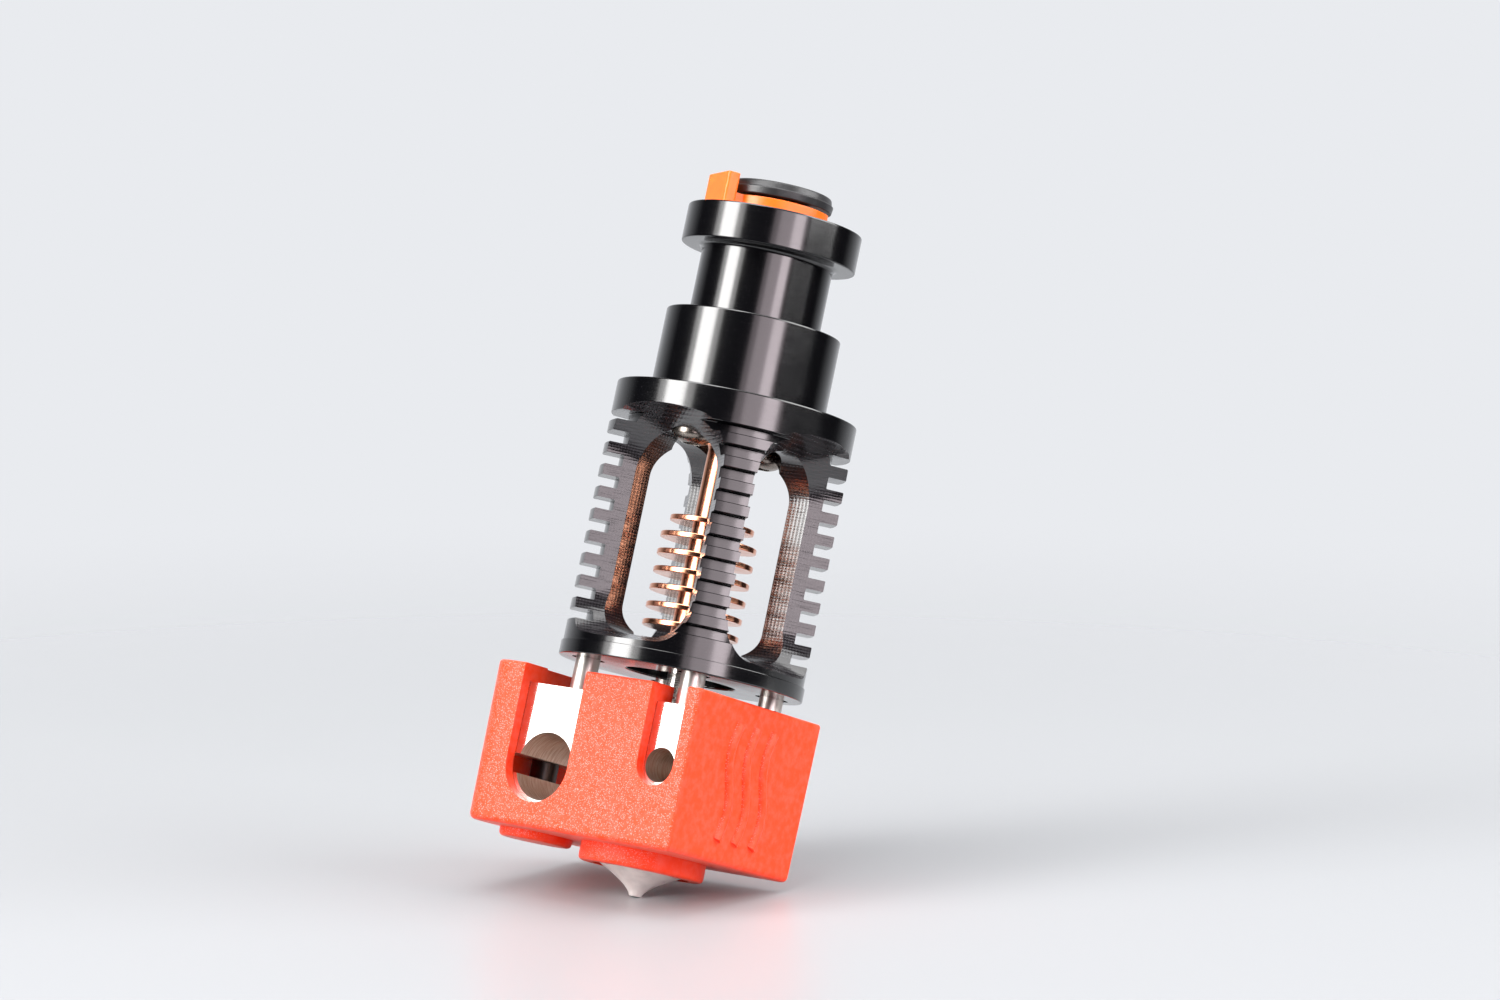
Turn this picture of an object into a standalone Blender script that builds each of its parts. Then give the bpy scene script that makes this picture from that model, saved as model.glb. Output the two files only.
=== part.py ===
"""Hot end assembly of a desktop 3-D printer: groove-mount heat sink, finned heat break, heater block,
nozzle, silicone sock and push-fit collet. The nozzle tip is the origin and +Z runs up the filament path."""

import math

import bmesh
import bpy
from mathutils import Matrix

# All driving dimensions are in millimetres. MM turns them into metres.
MM = 0.001
GAP = 0.1  # clearance left between two pieces that bear on each other

# Heat sink: heights up the axis and outer radii
RING_BOTTOM = 19.9
RING_LIP_TOP = 21.2
RING_TOP = 23.1
SHOULDER_BOTTOM = 45.2
GROOVE_BOTTOM = 52.6
GROOVE_TOP = 58.9
SINK_TOP = 62.3
BAND_BOTTOM = 42.2
RING_LIP_RADIUS = 11.15
BODY_RADIUS = 11.0
SHOULDER_RADIUS = 8.0
GROOVE_RADIUS = 6.0
GROOVE_FILLET = 0.5
EDGE_CHAMFER = 0.15
CAGE_BORE_RADIUS = 5.0
FILAMENT_BORE_RADIUS = 2.1
SINK_STEPS = 60

# Cooling teeth on the four pillars
TOOTH_COUNT = 9
TOOTH_PITCH = 2.04
TOOTH_THICKNESS = 1.0
LOWEST_TOOTH = 24.55
TOOTH_FLOOR_RADIUS = 9.4

# Windows between the pillars
WINDOW_BOTTOM = 21.7
WINDOW_TOP = 43.0
WINDOW_CORNER = 3.9
SLOT_BOTTOM = 22.5
SLOT_TOP = 41.4
SLOT_LOW_CORNER = 2.8
SLOT_TOP_CORNER = 4.2
SLOT_HALF_WIDTH = 4.56
PILLAR_WIDTH = 3.1
WINDOW_OVERLAP = 0.3  # how far each window's cutter runs on into the slot
WINDOW_INSET = 0.2  # how far inside the slot the windows start, above and below

# Heat break
FLANGE_FACE = 41.9
FLANGE_TOP = 43.4
FLANGE_RADIUS = 4.8
TUBE_RADIUS = 1.75
FIN_COUNT = 7
FIN_PITCH = 1.62
FIN_THICKNESS = 0.5
FIN_RADIUS = 4.4
TOP_FIN_RADIUS = 3.85
LOWEST_FIN = 24.3
BREAK_BOTTOM = 21.6
THROAT_RADIUS = 1.2
THROAT_BORE_RADIUS = 0.95
THROAT_TOP = 30.0
THREAD_RADIUS = 2.9

# Screws that clamp the heat break
CLAMP_SCREW_REACH = 5.4
BUTTON_HEAD_RADIUS = 1.88
BUTTON_HEAD_HEIGHT = 1.5
CLAMP_SHANK_RADIUS = 0.9
CLAMP_SHANK_LENGTH = 5.0
SCREW_STEPS = 24
CROWN_SHARE = 0.35  # straight part of a button head's side, as a share of its height
SOCKET_DEPTH_SHARE = 0.6
SOCKET_WIDTH_SHARE = 0.48

# Standoff posts
POST_REACH = 6.0
POST_RADIUS = 1.1
POST_HOLE_RADIUS = 1.5
POST_BOTTOM = 13.5
POST_TOP = 21.5
POST_BORE_RADIUS = 0.5

# Heater block
BLOCK_LEFT = -13.4
BLOCK_RIGHT = 8.5
BLOCK_HALF_DEPTH = 8.2
BLOCK_BOTTOM = 5.4
BLOCK_TOP = 16.9
BLOCK_CHAMFER = 0.3
HEATER_X = -6.66
HEATER_Z = 9.6
HEATER_RADIUS = 3.08
SENSOR_X = 6.03
SENSOR_Z = 11.35
SENSOR_RADIUS = 1.57
SLIT_CENTRE = 9.53
SLIT_HEIGHT = 1.76
SQUEEZE_X = -11.5
SQUEEZE_Y = -2.0
SQUEEZE_FACE = 6.2
SQUEEZE_HEAD_RADIUS = 2.0
SQUEEZE_SHANK_RADIUS = 1.25
SQUEEZE_LENGTH = 8.0
SQUEEZE_HOLE_TOP = 14.6
GRUB_RADIUS = 1.5
GRUB_INSET = 0.2
GRUB_SOCKET_RADIUS = 0.85
GRUB_SOCKET_DEPTH = 1.6

# Nozzle
TIP_RADIUS = 0.55
ORIFICE_RADIUS = 0.2
CONE_RADIUS = 3.45
CONE_TOP = 2.2
HEX_ACROSS_FLATS = 7.0
HEX_TOP = 5.25
NOZZLE_TOP = 12.2

# Silicone sock
SOCK_LEFT = -14.47
SOCK_RIGHT = 9.63
SOCK_HALF_DEPTH = 9.31
SOCK_BOTTOM = 3.95
SOCK_BEVEL = 0.4
SOCK_TOP = 18.5
SOCK_LEFT_CORNER = 2.6
SOCK_RIGHT_CORNER = 0.4
LIP_DEPTH = 2.1
SIDE_LIP_DEPTH = 1.3
HEATER_SLOT_CENTRE = -6.7
HEATER_SLOT_HALF = 3.5
HEATER_SLOT_LOW = 9.7
SENSOR_SLOT_CENTRE = 6.3
SENSOR_SLOT_HALF = 2.0
SENSOR_SLOT_LOW = 11.4
SKIRT_RADIUS = 5.7
SKIRT_BORE_RADIUS = 4.45
SKIRT_BOTTOM = 2.25
BOSS_X = -10.9
BOSS_RADIUS = 3.3
BOSS_BOTTOM = 3.15
BOSS_POCKET_RADIUS = 2.4

# Push-fit collet, its seat and its locking clip
SEAT_BOTTOM = 55.6
SEAT_RADIUS = 4.35
SEAT_MOUTH_RADIUS = 2.95
SEAT_WAIST_RADIUS = 3.4
SEAT_MOUTH_DEPTH = 1.5
SEAT_TAPER_END = 3.2
SEAT_FLOOR = 0.8
COLLET_BOTTOM = 57.2
COLLET_RADIUS = 2.8
COLLET_BORE_RADIUS = 2.05
COLLET_RIM_RADIUS = 4.9
COLLET_RIM_BOTTOM = 63.85
COLLET_TOP = 65.2
FINGER_SLOT = 0.8
FINGER_SLOT_TOP = 61.5
FINGER_FOOT_RADIUS = 3.1
BLADE_WIDTH = 0.76
BLADE_REACH = 2.95
BLADE_POINT = 1.85
BLADE_LOW = 0.42  # the blade's underside above the foot of its finger
BLADE_HIGH = 0.78
BLADE_GAP = 0.07
CLIP_BOTTOM = 62.4
CLIP_TOP = 63.6
CLIP_RADIUS = 4.75
CLIP_BORE_RADIUS = 2.95
CLIP_MOUTH = 5.75
CLIP_TURN = -31.5  # degrees from -Y towards -X
TAB_REACH = 6.3
TAB_THICKNESS = 1.2
TAB_WIDTH = 5.0
TAB_TOP = 65.3

QUARTERS = (45, 135, 225, 315)


def clear_scene():
    for item in list(bpy.data.objects):
        bpy.data.objects.remove(item)


def finish(name, red, green, blue, roughness, metallic):
    """A Principled material of one colour."""
    material = bpy.data.materials.new(name)
    material.use_nodes = True
    shader = material.node_tree.nodes["Principled BSDF"]
    shader.inputs["Base Color"].default_value = (red, green, blue, 1)
    shader.inputs["Roughness"].default_value = roughness
    shader.inputs["Metallic"].default_value = metallic
    material.diffuse_color = (red, green, blue, 1)
    return material


def add_object(name, shape, material=None, sharp=35):
    """Puts a closed bmesh, drawn in millimetres, into the scene with its faces outward."""
    bmesh.ops.recalc_face_normals(shape, faces=shape.faces)
    bmesh.ops.scale(shape, vec=(MM, MM, MM), verts=shape.verts)
    mesh = bpy.data.meshes.new(name)
    shape.to_mesh(mesh)
    shape.free()
    mesh.shade_smooth()
    mesh.set_sharp_from_angle(angle=math.radians(sharp))
    thing = bpy.data.objects.new(name, mesh)
    bpy.context.collection.objects.link(thing)
    if material:
        mesh.materials.append(material)
    else:
        thing.hide_render = True
        thing.display_type = "WIRE"
    return thing


def turned(outline, steps):
    """A solid of revolution about Z. The outline is a loop of (radius, height) points."""
    shape = bmesh.new()
    rings = []
    for radius, height in outline:
        if radius == 0:
            rings.append([shape.verts.new((0, 0, height))] * steps)
            continue
        angles = [2 * math.pi * step / steps for step in range(steps)]
        rings.append([shape.verts.new((radius * math.cos(a), radius * math.sin(a), height)) for a in angles])
    for lower, upper in zip(rings, rings[1:] + rings[:1]):
        for step in range(steps):
            after = (step + 1) % steps
            corners = [lower[step], lower[after], upper[after], upper[step]]
            corners = list(dict.fromkeys(corners))
            if len(corners) > 2:
                shape.faces.new(corners)
    return shape


def prism(outline, low, high):
    """An outline of (x, y) points drawn up from one height to another."""
    shape = bmesh.new()
    bottom = [shape.verts.new((x, y, low)) for x, y in outline]
    top = [shape.verts.new((x, y, high)) for x, y in outline]
    shape.faces.new(bottom)
    shape.faces.new(top)
    for index in range(len(outline)):
        after = (index + 1) % len(outline)
        shape.faces.new((bottom[index], bottom[after], top[after], top[index]))
    return shape


def bevelled_prism(outline, low, high, bevel):
    """A prism whose lowest outline is drawn in, so that its bottom edge has a bevel."""
    left, right = min(x for x, y in outline), max(x for x, y in outline)
    front, rear = min(y for x, y in outline), max(y for x, y in outline)
    middle_x, middle_y = (left + right) / 2, (front + rear) / 2
    shrink_x, shrink_y = 1 - 2 * bevel / (right - left), 1 - 2 * bevel / (rear - front)
    floor = []
    for x, y in outline:
        floor.append((middle_x + (x - middle_x) * shrink_x, middle_y + (y - middle_y) * shrink_y))
    shape = bmesh.new()
    levels = []
    for points, height in ((floor, low), (outline, low + bevel), (outline, high)):
        levels.append([shape.verts.new((x, y, height)) for x, y in points])
    shape.faces.new(levels[0])
    shape.faces.new(levels[-1])
    for below, above in zip(levels, levels[1:]):
        for index in range(len(outline)):
            after = (index + 1) % len(outline)
            shape.faces.new((below[index], below[after], above[after], above[index]))
    return shape


def arc(centre_x, centre_y, radius, start, end, steps):
    """Points along a circle, with angles in degrees."""
    points = []
    for step in range(steps + 1):
        angle = math.radians(start + (end - start) * step / steps)
        points.append((centre_x + radius * math.cos(angle), centre_y + radius * math.sin(angle)))
    return points


def rounded_box_outline(left, right, low, high, left_corner, right_corner, steps=6):
    """A rectangle with one corner radius on its left side and another on its right."""
    points = arc(right - right_corner, low + right_corner, right_corner, -90, 0, steps)
    points += arc(right - right_corner, high - right_corner, right_corner, 0, 90, steps)
    points += arc(left + left_corner, high - left_corner, left_corner, 90, 180, steps)
    points += arc(left + left_corner, low + left_corner, left_corner, 180, 270, steps)
    return points


def moved(shape, x=0, y=0, z=0, turn=0, axis="Z"):
    """The same bmesh turned about the origin by degrees, and then shifted."""
    matrix = Matrix.Translation((x, y, z)) @ Matrix.Rotation(math.radians(turn), 4, axis)
    bmesh.ops.transform(shape, matrix=matrix, verts=shape.verts)
    return shape


def cylinder(radius, low, high, steps):
    return turned([(0, low), (radius, low), (radius, high), (0, high)], steps)


def cut(target, cutters):
    """Takes each cutter away from the target with an exact Boolean."""
    for cutter in cutters:
        difference = target.modifiers.new("Cut " + cutter.name, "BOOLEAN")
        difference.operation = "DIFFERENCE"
        difference.solver = "EXACT"
        difference.object = cutter


def join(target, others):
    """Adds each helper shape to the target with an exact Boolean."""
    for other in others:
        union = target.modifiers.new("Join " + other.name, "BOOLEAN")
        union.operation = "UNION"
        union.solver = "EXACT"
        union.object = other


def sink_outline():
    """Half section of the turned heat sink, from the ring up the outside and down the bore."""
    chamfer = EDGE_CHAMFER
    points = [(CAGE_BORE_RADIUS, RING_BOTTOM), (RING_LIP_RADIUS - chamfer, RING_BOTTOM)]
    points += [(RING_LIP_RADIUS, RING_BOTTOM + chamfer), (RING_LIP_RADIUS, RING_LIP_TOP)]
    points += [(BODY_RADIUS, RING_LIP_TOP), (BODY_RADIUS, RING_TOP), (TOOTH_FLOOR_RADIUS, RING_TOP)]
    for index in range(TOOTH_COUNT):
        low = LOWEST_TOOTH + index * TOOTH_PITCH - TOOTH_THICKNESS / 2
        high = low + TOOTH_THICKNESS
        points += [(TOOTH_FLOOR_RADIUS, low), (BODY_RADIUS, low)]
        points += [(BODY_RADIUS, high), (TOOTH_FLOOR_RADIUS, high)]
    points += [(TOOTH_FLOOR_RADIUS, BAND_BOTTOM), (BODY_RADIUS - chamfer, BAND_BOTTOM)]
    points += [(BODY_RADIUS, BAND_BOTTOM + chamfer), (BODY_RADIUS, SHOULDER_BOTTOM - chamfer)]
    points += [(BODY_RADIUS - chamfer, SHOULDER_BOTTOM), (SHOULDER_RADIUS, SHOULDER_BOTTOM)]
    points += [(SHOULDER_RADIUS, GROOVE_BOTTOM - chamfer), (SHOULDER_RADIUS - chamfer, GROOVE_BOTTOM)]
    points += [(GROOVE_RADIUS, GROOVE_BOTTOM)]
    points += arc(GROOVE_RADIUS + GROOVE_FILLET, GROOVE_TOP - GROOVE_FILLET, GROOVE_FILLET, 180, 90, 3)
    points += [(SHOULDER_RADIUS - chamfer, GROOVE_TOP), (SHOULDER_RADIUS, GROOVE_TOP + chamfer)]
    points += [(SHOULDER_RADIUS, SINK_TOP - chamfer), (SHOULDER_RADIUS - chamfer, SINK_TOP)]
    seat = SEAT_RADIUS + GAP
    points += [(seat, SINK_TOP), (seat, SEAT_BOTTOM - GAP), (FILAMENT_BORE_RADIUS, SEAT_BOTTOM - GAP)]
    points += [(FILAMENT_BORE_RADIUS, FLANGE_TOP + GAP), (CAGE_BORE_RADIUS, FLANGE_TOP + GAP)]
    return points


def window_cutter(direction):
    """The wide outer part of one window. Its walls flare outwards all round: the side walls run at
    45 degrees, along the pillars' sides, and the top and bottom lean from the slot to the skin."""
    meeting = SLOT_HALF_WIDTH + PILLAR_WIDTH / math.sqrt(2)
    start = meeting - WINDOW_OVERLAP
    end = BODY_RADIUS + 1.5
    lowest = SLOT_BOTTOM + WINDOW_INSET
    highest = SLOT_TOP - WINDOW_INSET
    shape = bmesh.new()
    sections = []
    for distance in (start, end):
        half = SLOT_HALF_WIDTH + distance - meeting
        share = (distance - start) / (BODY_RADIUS - start)
        bottom = lowest + (WINDOW_BOTTOM - lowest) * share
        top = highest + (WINDOW_TOP - highest) * share
        outline = rounded_box_outline(-half, half, bottom, top, WINDOW_CORNER, WINDOW_CORNER)
        sections.append([shape.verts.new((x, -distance, z)) for x, z in outline])
        shape.faces.new(sections[-1])
    near, far = sections
    for index in range(len(near)):
        after = (index + 1) % len(near)
        shape.faces.new((near[index], near[after], far[after], far[index]))
    return add_object(f"window_cutter_{direction}", moved(shape, turn=direction))


def slot_cutter(direction):
    """The narrow slot that runs right through the cage, with round ends."""
    half = SLOT_HALF_WIDTH
    outline = rounded_box_outline(SLOT_BOTTOM, SLOT_TOP, -half, half, SLOT_LOW_CORNER, SLOT_TOP_CORNER)
    reach = BODY_RADIUS + 1.0
    shape = moved(prism([(x, -z) for z, x in outline], -reach, reach), turn=-90, axis="X")
    return add_object(f"slot_cutter_{direction}", moved(shape, turn=direction))


def post_places():
    """Name and centre of each standoff post, which stand on a square pattern."""
    names = ("front_left", "front_right", "rear_right", "rear_left")
    signs = ((-1, -1), (1, -1), (1, 1), (-1, 1))
    return [(name, x * POST_REACH, y * POST_REACH) for name, (x, y) in zip(names, signs)]


def clamp_screw_places():
    return (("front", -CLAMP_SCREW_REACH), ("rear", CLAMP_SCREW_REACH))


def make_heat_sink():
    black = finish("black_anodised", 0.012, 0.012, 0.014, 0.16, 0.6)
    sink = add_object("heat_sink", turned(sink_outline(), SINK_STEPS), black, sharp=20)
    cutters = [slot_cutter(0), slot_cutter(90)]
    cutters += [window_cutter(direction) for direction in (0, 90, 180, 270)]
    for name, x, y in post_places():
        hole = moved(cylinder(POST_HOLE_RADIUS, RING_BOTTOM - 1, POST_TOP + GAP, 24), x, y)
        cutters.append(add_object(f"post_hole_{name}", hole))
    for name, y in clamp_screw_places():
        top = FLANGE_FACE + CLAMP_SHANK_LENGTH - BUTTON_HEAD_HEIGHT
        seat = moved(cylinder(BUTTON_HEAD_RADIUS + GAP, FLANGE_FACE - 3, FLANGE_FACE, 24), y=y)
        hole = moved(cylinder(CLAMP_SHANK_RADIUS + GAP, FLANGE_FACE - 3, top, 16), y=y)
        cutters.append(add_object(f"clamp_seat_{name}", seat))
        cutters.append(add_object(f"clamp_hole_{name}", hole))
    cut(sink, cutters)


def make_heat_break():
    copper = finish("copper", 0.75, 0.30, 0.17, 0.12, 1.0)
    bore = THROAT_RADIUS + GAP
    points = [(bore, BREAK_BOTTOM), (TUBE_RADIUS, BREAK_BOTTOM)]
    for index in range(FIN_COUNT):
        low = LOWEST_FIN + index * FIN_PITCH - FIN_THICKNESS / 2
        high = low + FIN_THICKNESS
        radius = TOP_FIN_RADIUS if index == FIN_COUNT - 1 else FIN_RADIUS
        points += [(TUBE_RADIUS, low), (radius, low), (radius, high), (TUBE_RADIUS, high)]
    flange_bottom = FLANGE_FACE + GAP
    points += [(TUBE_RADIUS, flange_bottom - 1), (TUBE_RADIUS + 1, flange_bottom)]
    points += [(FLANGE_RADIUS, flange_bottom)]
    points += [(FLANGE_RADIUS, FLANGE_TOP), (THROAT_BORE_RADIUS, FLANGE_TOP)]
    points += [(THROAT_BORE_RADIUS, THROAT_TOP + GAP), (bore, THROAT_TOP + GAP)]
    heat_break = add_object("heat_break", turned(points, 32), copper)
    for name, y in clamp_screw_places():
        notch = moved(cylinder(CLAMP_SHANK_RADIUS + 2 * GAP, FLANGE_FACE - 0.6, FLANGE_TOP + 1, 18), y=y)
        cut(heat_break, [add_object(f"flange_notch_{name}", notch)])


def make_throat():
    """The thin tube inside the copper, with the threaded collar that screws into the block."""
    steel = finish("throat_steel", 0.55, 0.53, 0.50, 0.3, 1.0)
    collar_low = NOZZLE_TOP + GAP
    collar_high = BLOCK_TOP + 0.4
    points = [(THROAT_BORE_RADIUS, collar_low), (THREAD_RADIUS, collar_low), (THREAD_RADIUS, collar_high)]
    points += [(THROAT_RADIUS, collar_high + 0.6), (THROAT_RADIUS, THROAT_TOP)]
    points += [(THROAT_BORE_RADIUS, THROAT_TOP)]
    add_object("heat_break_throat", turned(points, 24), steel)


def button_screw(name, x, y, head_face, shank_length, head_radius, shank_radius, material):
    """A button-head screw whose head hangs below head_face and whose shank points up."""
    height = BUTTON_HEAD_HEIGHT * head_radius / BUTTON_HEAD_RADIUS
    crown = height * CROWN_SHARE
    points = [(0, shank_length), (shank_radius, shank_length), (shank_radius, 0), (head_radius, 0)]
    points += [(head_radius, -crown)]
    bulge = [
        (head_radius * math.cos(a), -crown - (height - crown) * math.sin(a))
        for a in (math.radians(step * 15) for step in range(1, 5))
    ]
    points += bulge
    points += [(0, bulge[-1][1])]
    shape = turned([(radius, head_face + z) for radius, z in points], SCREW_STEPS)
    screw = add_object(name, moved(shape, x, y), material)
    deepest = head_face - height * (1 - SOCKET_DEPTH_SHARE)
    hexagon = arc(0, 0, head_radius * SOCKET_WIDTH_SHARE, 0, 300, 5)
    socket = prism(hexagon, head_face - height - 1, deepest)
    cut(screw, [add_object("socket_" + name, moved(socket, x, y))])
    return screw


def make_clamp_screws():
    steel = finish("stainless_screw", 0.62, 0.61, 0.58, 0.18, 1.0)
    face = FLANGE_FACE - GAP
    length = CLAMP_SHANK_LENGTH - BUTTON_HEAD_HEIGHT
    for name, y in clamp_screw_places():
        label = f"clamp_screw_{name}"
        button_screw(label, 0, y, face, length, BUTTON_HEAD_RADIUS, CLAMP_SHANK_RADIUS, steel)


def make_posts():
    steel = finish("post_steel", 0.68, 0.68, 0.67, 0.12, 1.0)
    mesh = None
    for name, x, y in post_places():
        if mesh is None:
            outline = [(POST_BORE_RADIUS, POST_BOTTOM), (POST_RADIUS - 0.1, POST_BOTTOM)]
            outline += [(POST_RADIUS, POST_BOTTOM + 0.1), (POST_RADIUS, POST_TOP - 0.1)]
            outline += [(POST_RADIUS - 0.1, POST_TOP), (POST_BORE_RADIUS, POST_TOP)]
            post = add_object(f"standoff_post_{name}", turned(outline, 24), steel)
            mesh = post.data
        else:
            post = bpy.data.objects.new(f"standoff_post_{name}", mesh)
            bpy.context.collection.objects.link(post)
        post.location = (x * MM, y * MM, 0)


def make_heater_block():
    nickel = finish("nickel_plate", 0.78, 0.77, 0.74, 0.08, 1.0)
    outline = rounded_box_outline(
        BLOCK_LEFT, BLOCK_RIGHT, -BLOCK_HALF_DEPTH, BLOCK_HALF_DEPTH, BLOCK_CHAMFER, BLOCK_CHAMFER, 1
    )
    block = add_object("heater_block", prism(outline, BLOCK_BOTTOM, BLOCK_TOP), nickel)
    reach = BLOCK_HALF_DEPTH + 1
    heater = moved(cylinder(HEATER_RADIUS, -reach, reach, 40), HEATER_X, 0, HEATER_Z, 90, "X")
    sensor = moved(cylinder(SENSOR_RADIUS, -reach, reach, 24), SENSOR_X, 0, SENSOR_Z, 90, "X")
    slit_low = SLIT_CENTRE - SLIT_HEIGHT / 2
    slit_outline = [(BLOCK_LEFT - 1, -reach), (HEATER_X, -reach), (HEATER_X, reach), (BLOCK_LEFT - 1, reach)]
    slit = prism(slit_outline, slit_low, slit_low + SLIT_HEIGHT)
    thread = cylinder(THREAD_RADIUS + GAP, BLOCK_BOTTOM - 1, BLOCK_TOP + 1, 24)
    squeeze = cylinder(SQUEEZE_SHANK_RADIUS + GAP, BLOCK_BOTTOM - 1, SQUEEZE_HOLE_TOP, 16)
    squeeze = moved(squeeze, SQUEEZE_X, SQUEEZE_Y)
    head_radius = SQUEEZE_HEAD_RADIUS + GAP
    counterbore = moved(cylinder(head_radius, BLOCK_BOTTOM - 1, SQUEEZE_FACE, 24), SQUEEZE_X, SQUEEZE_Y)
    grub = moved(cylinder(GRUB_RADIUS + GAP, BLOCK_BOTTOM - 1, SENSOR_Z, 16), SENSOR_X, 0)
    cutters = [
        add_object("heater_bore", heater),
        add_object("clamp_slit", slit),
        add_object("sensor_bore", sensor),
        add_object("filament_thread", thread),
        add_object("squeeze_screw_hole", squeeze),
        add_object("squeeze_screw_counterbore", counterbore),
        add_object("grub_screw_hole", grub),
    ]
    for name, x, y in post_places():
        hole = moved(cylinder(POST_RADIUS + GAP / 2, POST_BOTTOM - GAP, BLOCK_TOP + 1, 24), x, y)
        cutters.append(add_object(f"post_socket_{name}", hole))
    cut(block, cutters)


def make_block_screws():
    steel = finish("black_steel_screw", 0.10, 0.10, 0.11, 0.35, 1.0)
    face = SQUEEZE_FACE - GAP
    head, shank = SQUEEZE_HEAD_RADIUS, SQUEEZE_SHANK_RADIUS
    button_screw("heater_clamp_screw", SQUEEZE_X, SQUEEZE_Y, face, SQUEEZE_LENGTH, head, shank, steel)
    low, high = BLOCK_BOTTOM + GRUB_INSET, SENSOR_Z - SENSOR_RADIUS - GAP
    grub = add_object("sensor_grub_screw", moved(cylinder(GRUB_RADIUS, low, high, 20), SENSOR_X, 0), steel)
    socket = prism(arc(SENSOR_X, 0, GRUB_SOCKET_RADIUS, 0, 300, 5), low - 1, low + GRUB_SOCKET_DEPTH)
    cut(grub, [add_object("grub_socket", socket)])


def make_nozzle():
    steel = finish("hardened_steel", 0.30, 0.27, 0.24, 0.3, 1.0)
    points = [(ORIFICE_RADIUS, 0), (TIP_RADIUS, 0)]
    sweep = 7
    for step in range(1, sweep + 1):
        share = step / sweep
        radius = TIP_RADIUS + (CONE_RADIUS - TIP_RADIUS) * share
        points.append((radius, CONE_TOP * share ** 0.8))
    hexagon_radius = HEX_ACROSS_FLATS / math.sqrt(3)
    points += [(hexagon_radius, CONE_TOP + 0.35), (hexagon_radius, HEX_TOP), (THREAD_RADIUS - 0.4, HEX_TOP)]
    points += [(THREAD_RADIUS - 0.4, HEX_TOP + 0.6), (THREAD_RADIUS, HEX_TOP + 1.0)]
    points += [(THREAD_RADIUS, NOZZLE_TOP), (THROAT_BORE_RADIUS, NOZZLE_TOP), (THROAT_BORE_RADIUS, 1.6)]
    points += [(ORIFICE_RADIUS, 0.6)]
    nozzle = add_object("nozzle", turned(points, 24), steel)
    flat = HEX_ACROSS_FLATS / 2
    for side in range(6):
        outline = [(flat, -4), (flat + 3, -4), (flat + 3, 4), (flat, 4)]
        shape = moved(prism(outline, CONE_TOP - 0.5, HEX_TOP + 1), turn=side * 60 + 7.5)
        cut(nozzle, [add_object(f"hexagon_side_{side}", shape)])


def slot_outline(centre, half, low, high):
    """A slot with a round bottom, open at the top."""
    return [(centre + half, high)] + arc(centre, low, half, 0, -180, 12) + [(centre - half, high)]


def upright_slot(name, centre, half, low):
    """A cutter along Y through the sock's front and rear walls."""
    reach = SOCK_HALF_DEPTH + 1
    outline = slot_outline(centre, half, low, SOCK_TOP + 1)
    shape = moved(prism([(x, -z) for x, z in outline], -reach, reach), turn=-90, axis="X")
    return add_object(name, shape)


def make_sock():
    silicone = finish("red_silicone", 0.86, 0.10, 0.035, 0.5, 0.0)
    outline = rounded_box_outline(
        SOCK_LEFT, SOCK_RIGHT, -SOCK_HALF_DEPTH, SOCK_HALF_DEPTH, SOCK_LEFT_CORNER, SOCK_RIGHT_CORNER
    )
    sock = add_object("silicone_sock", bevelled_prism(outline, SOCK_BOTTOM, SOCK_TOP, SOCK_BEVEL), silicone)
    skirt_outline = [(0, SKIRT_BOTTOM), (SKIRT_RADIUS - SOCK_BEVEL, SKIRT_BOTTOM)]
    skirt_outline += [(SKIRT_RADIUS, SKIRT_BOTTOM + SOCK_BEVEL), (SKIRT_RADIUS, SOCK_BOTTOM + 0.5)]
    skirt = add_object("sock_skirt", turned(skirt_outline + [(0, SOCK_BOTTOM + 0.5)], 40))
    boss_outline = [(0, BOSS_BOTTOM), (BOSS_RADIUS - SOCK_BEVEL, BOSS_BOTTOM)]
    boss_outline += [(BOSS_RADIUS, BOSS_BOTTOM + SOCK_BEVEL), (BOSS_RADIUS, SOCK_BOTTOM + 0.5)]
    boss_solid = turned(boss_outline + [(0, SOCK_BOTTOM + 0.5)], 32)
    boss = add_object("sock_boss", moved(boss_solid, BOSS_X, SQUEEZE_Y))
    join(sock, [skirt, boss])
    pocket_low, pocket_high = BLOCK_BOTTOM - GAP, BLOCK_TOP + GAP
    pocket = rounded_box_outline(
        BLOCK_LEFT - GAP, BLOCK_RIGHT + GAP, -BLOCK_HALF_DEPTH - GAP, BLOCK_HALF_DEPTH + GAP, 0.2, 0.2, 1
    )
    mouth_depth = BLOCK_HALF_DEPTH + GAP - LIP_DEPTH
    mouth_left = BLOCK_LEFT - GAP + LIP_DEPTH
    mouth_right = BLOCK_RIGHT + GAP - SIDE_LIP_DEPTH
    mouth = rounded_box_outline(mouth_left, mouth_right, -mouth_depth, mouth_depth, 0.8, 0.8, 2)
    boss_pocket = cylinder(BOSS_POCKET_RADIUS, BOSS_BOTTOM + 1, pocket_low + 2, 24)
    cutters = [
        add_object("sock_pocket", prism(pocket, pocket_low, pocket_high)),
        add_object("sock_mouth", prism(mouth, pocket_high - 2, SOCK_TOP + 1)),
        add_object("skirt_bore", cylinder(SKIRT_BORE_RADIUS, SKIRT_BOTTOM - 1, pocket_low + 2, 40)),
        add_object("boss_pocket", moved(boss_pocket, SQUEEZE_X, SQUEEZE_Y)),
        upright_slot("heater_slot", HEATER_SLOT_CENTRE, HEATER_SLOT_HALF, HEATER_SLOT_LOW),
        upright_slot("sensor_slot", SENSOR_SLOT_CENTRE, SENSOR_SLOT_HALF, SENSOR_SLOT_LOW),
    ]
    cut(sock, cutters)


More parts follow.
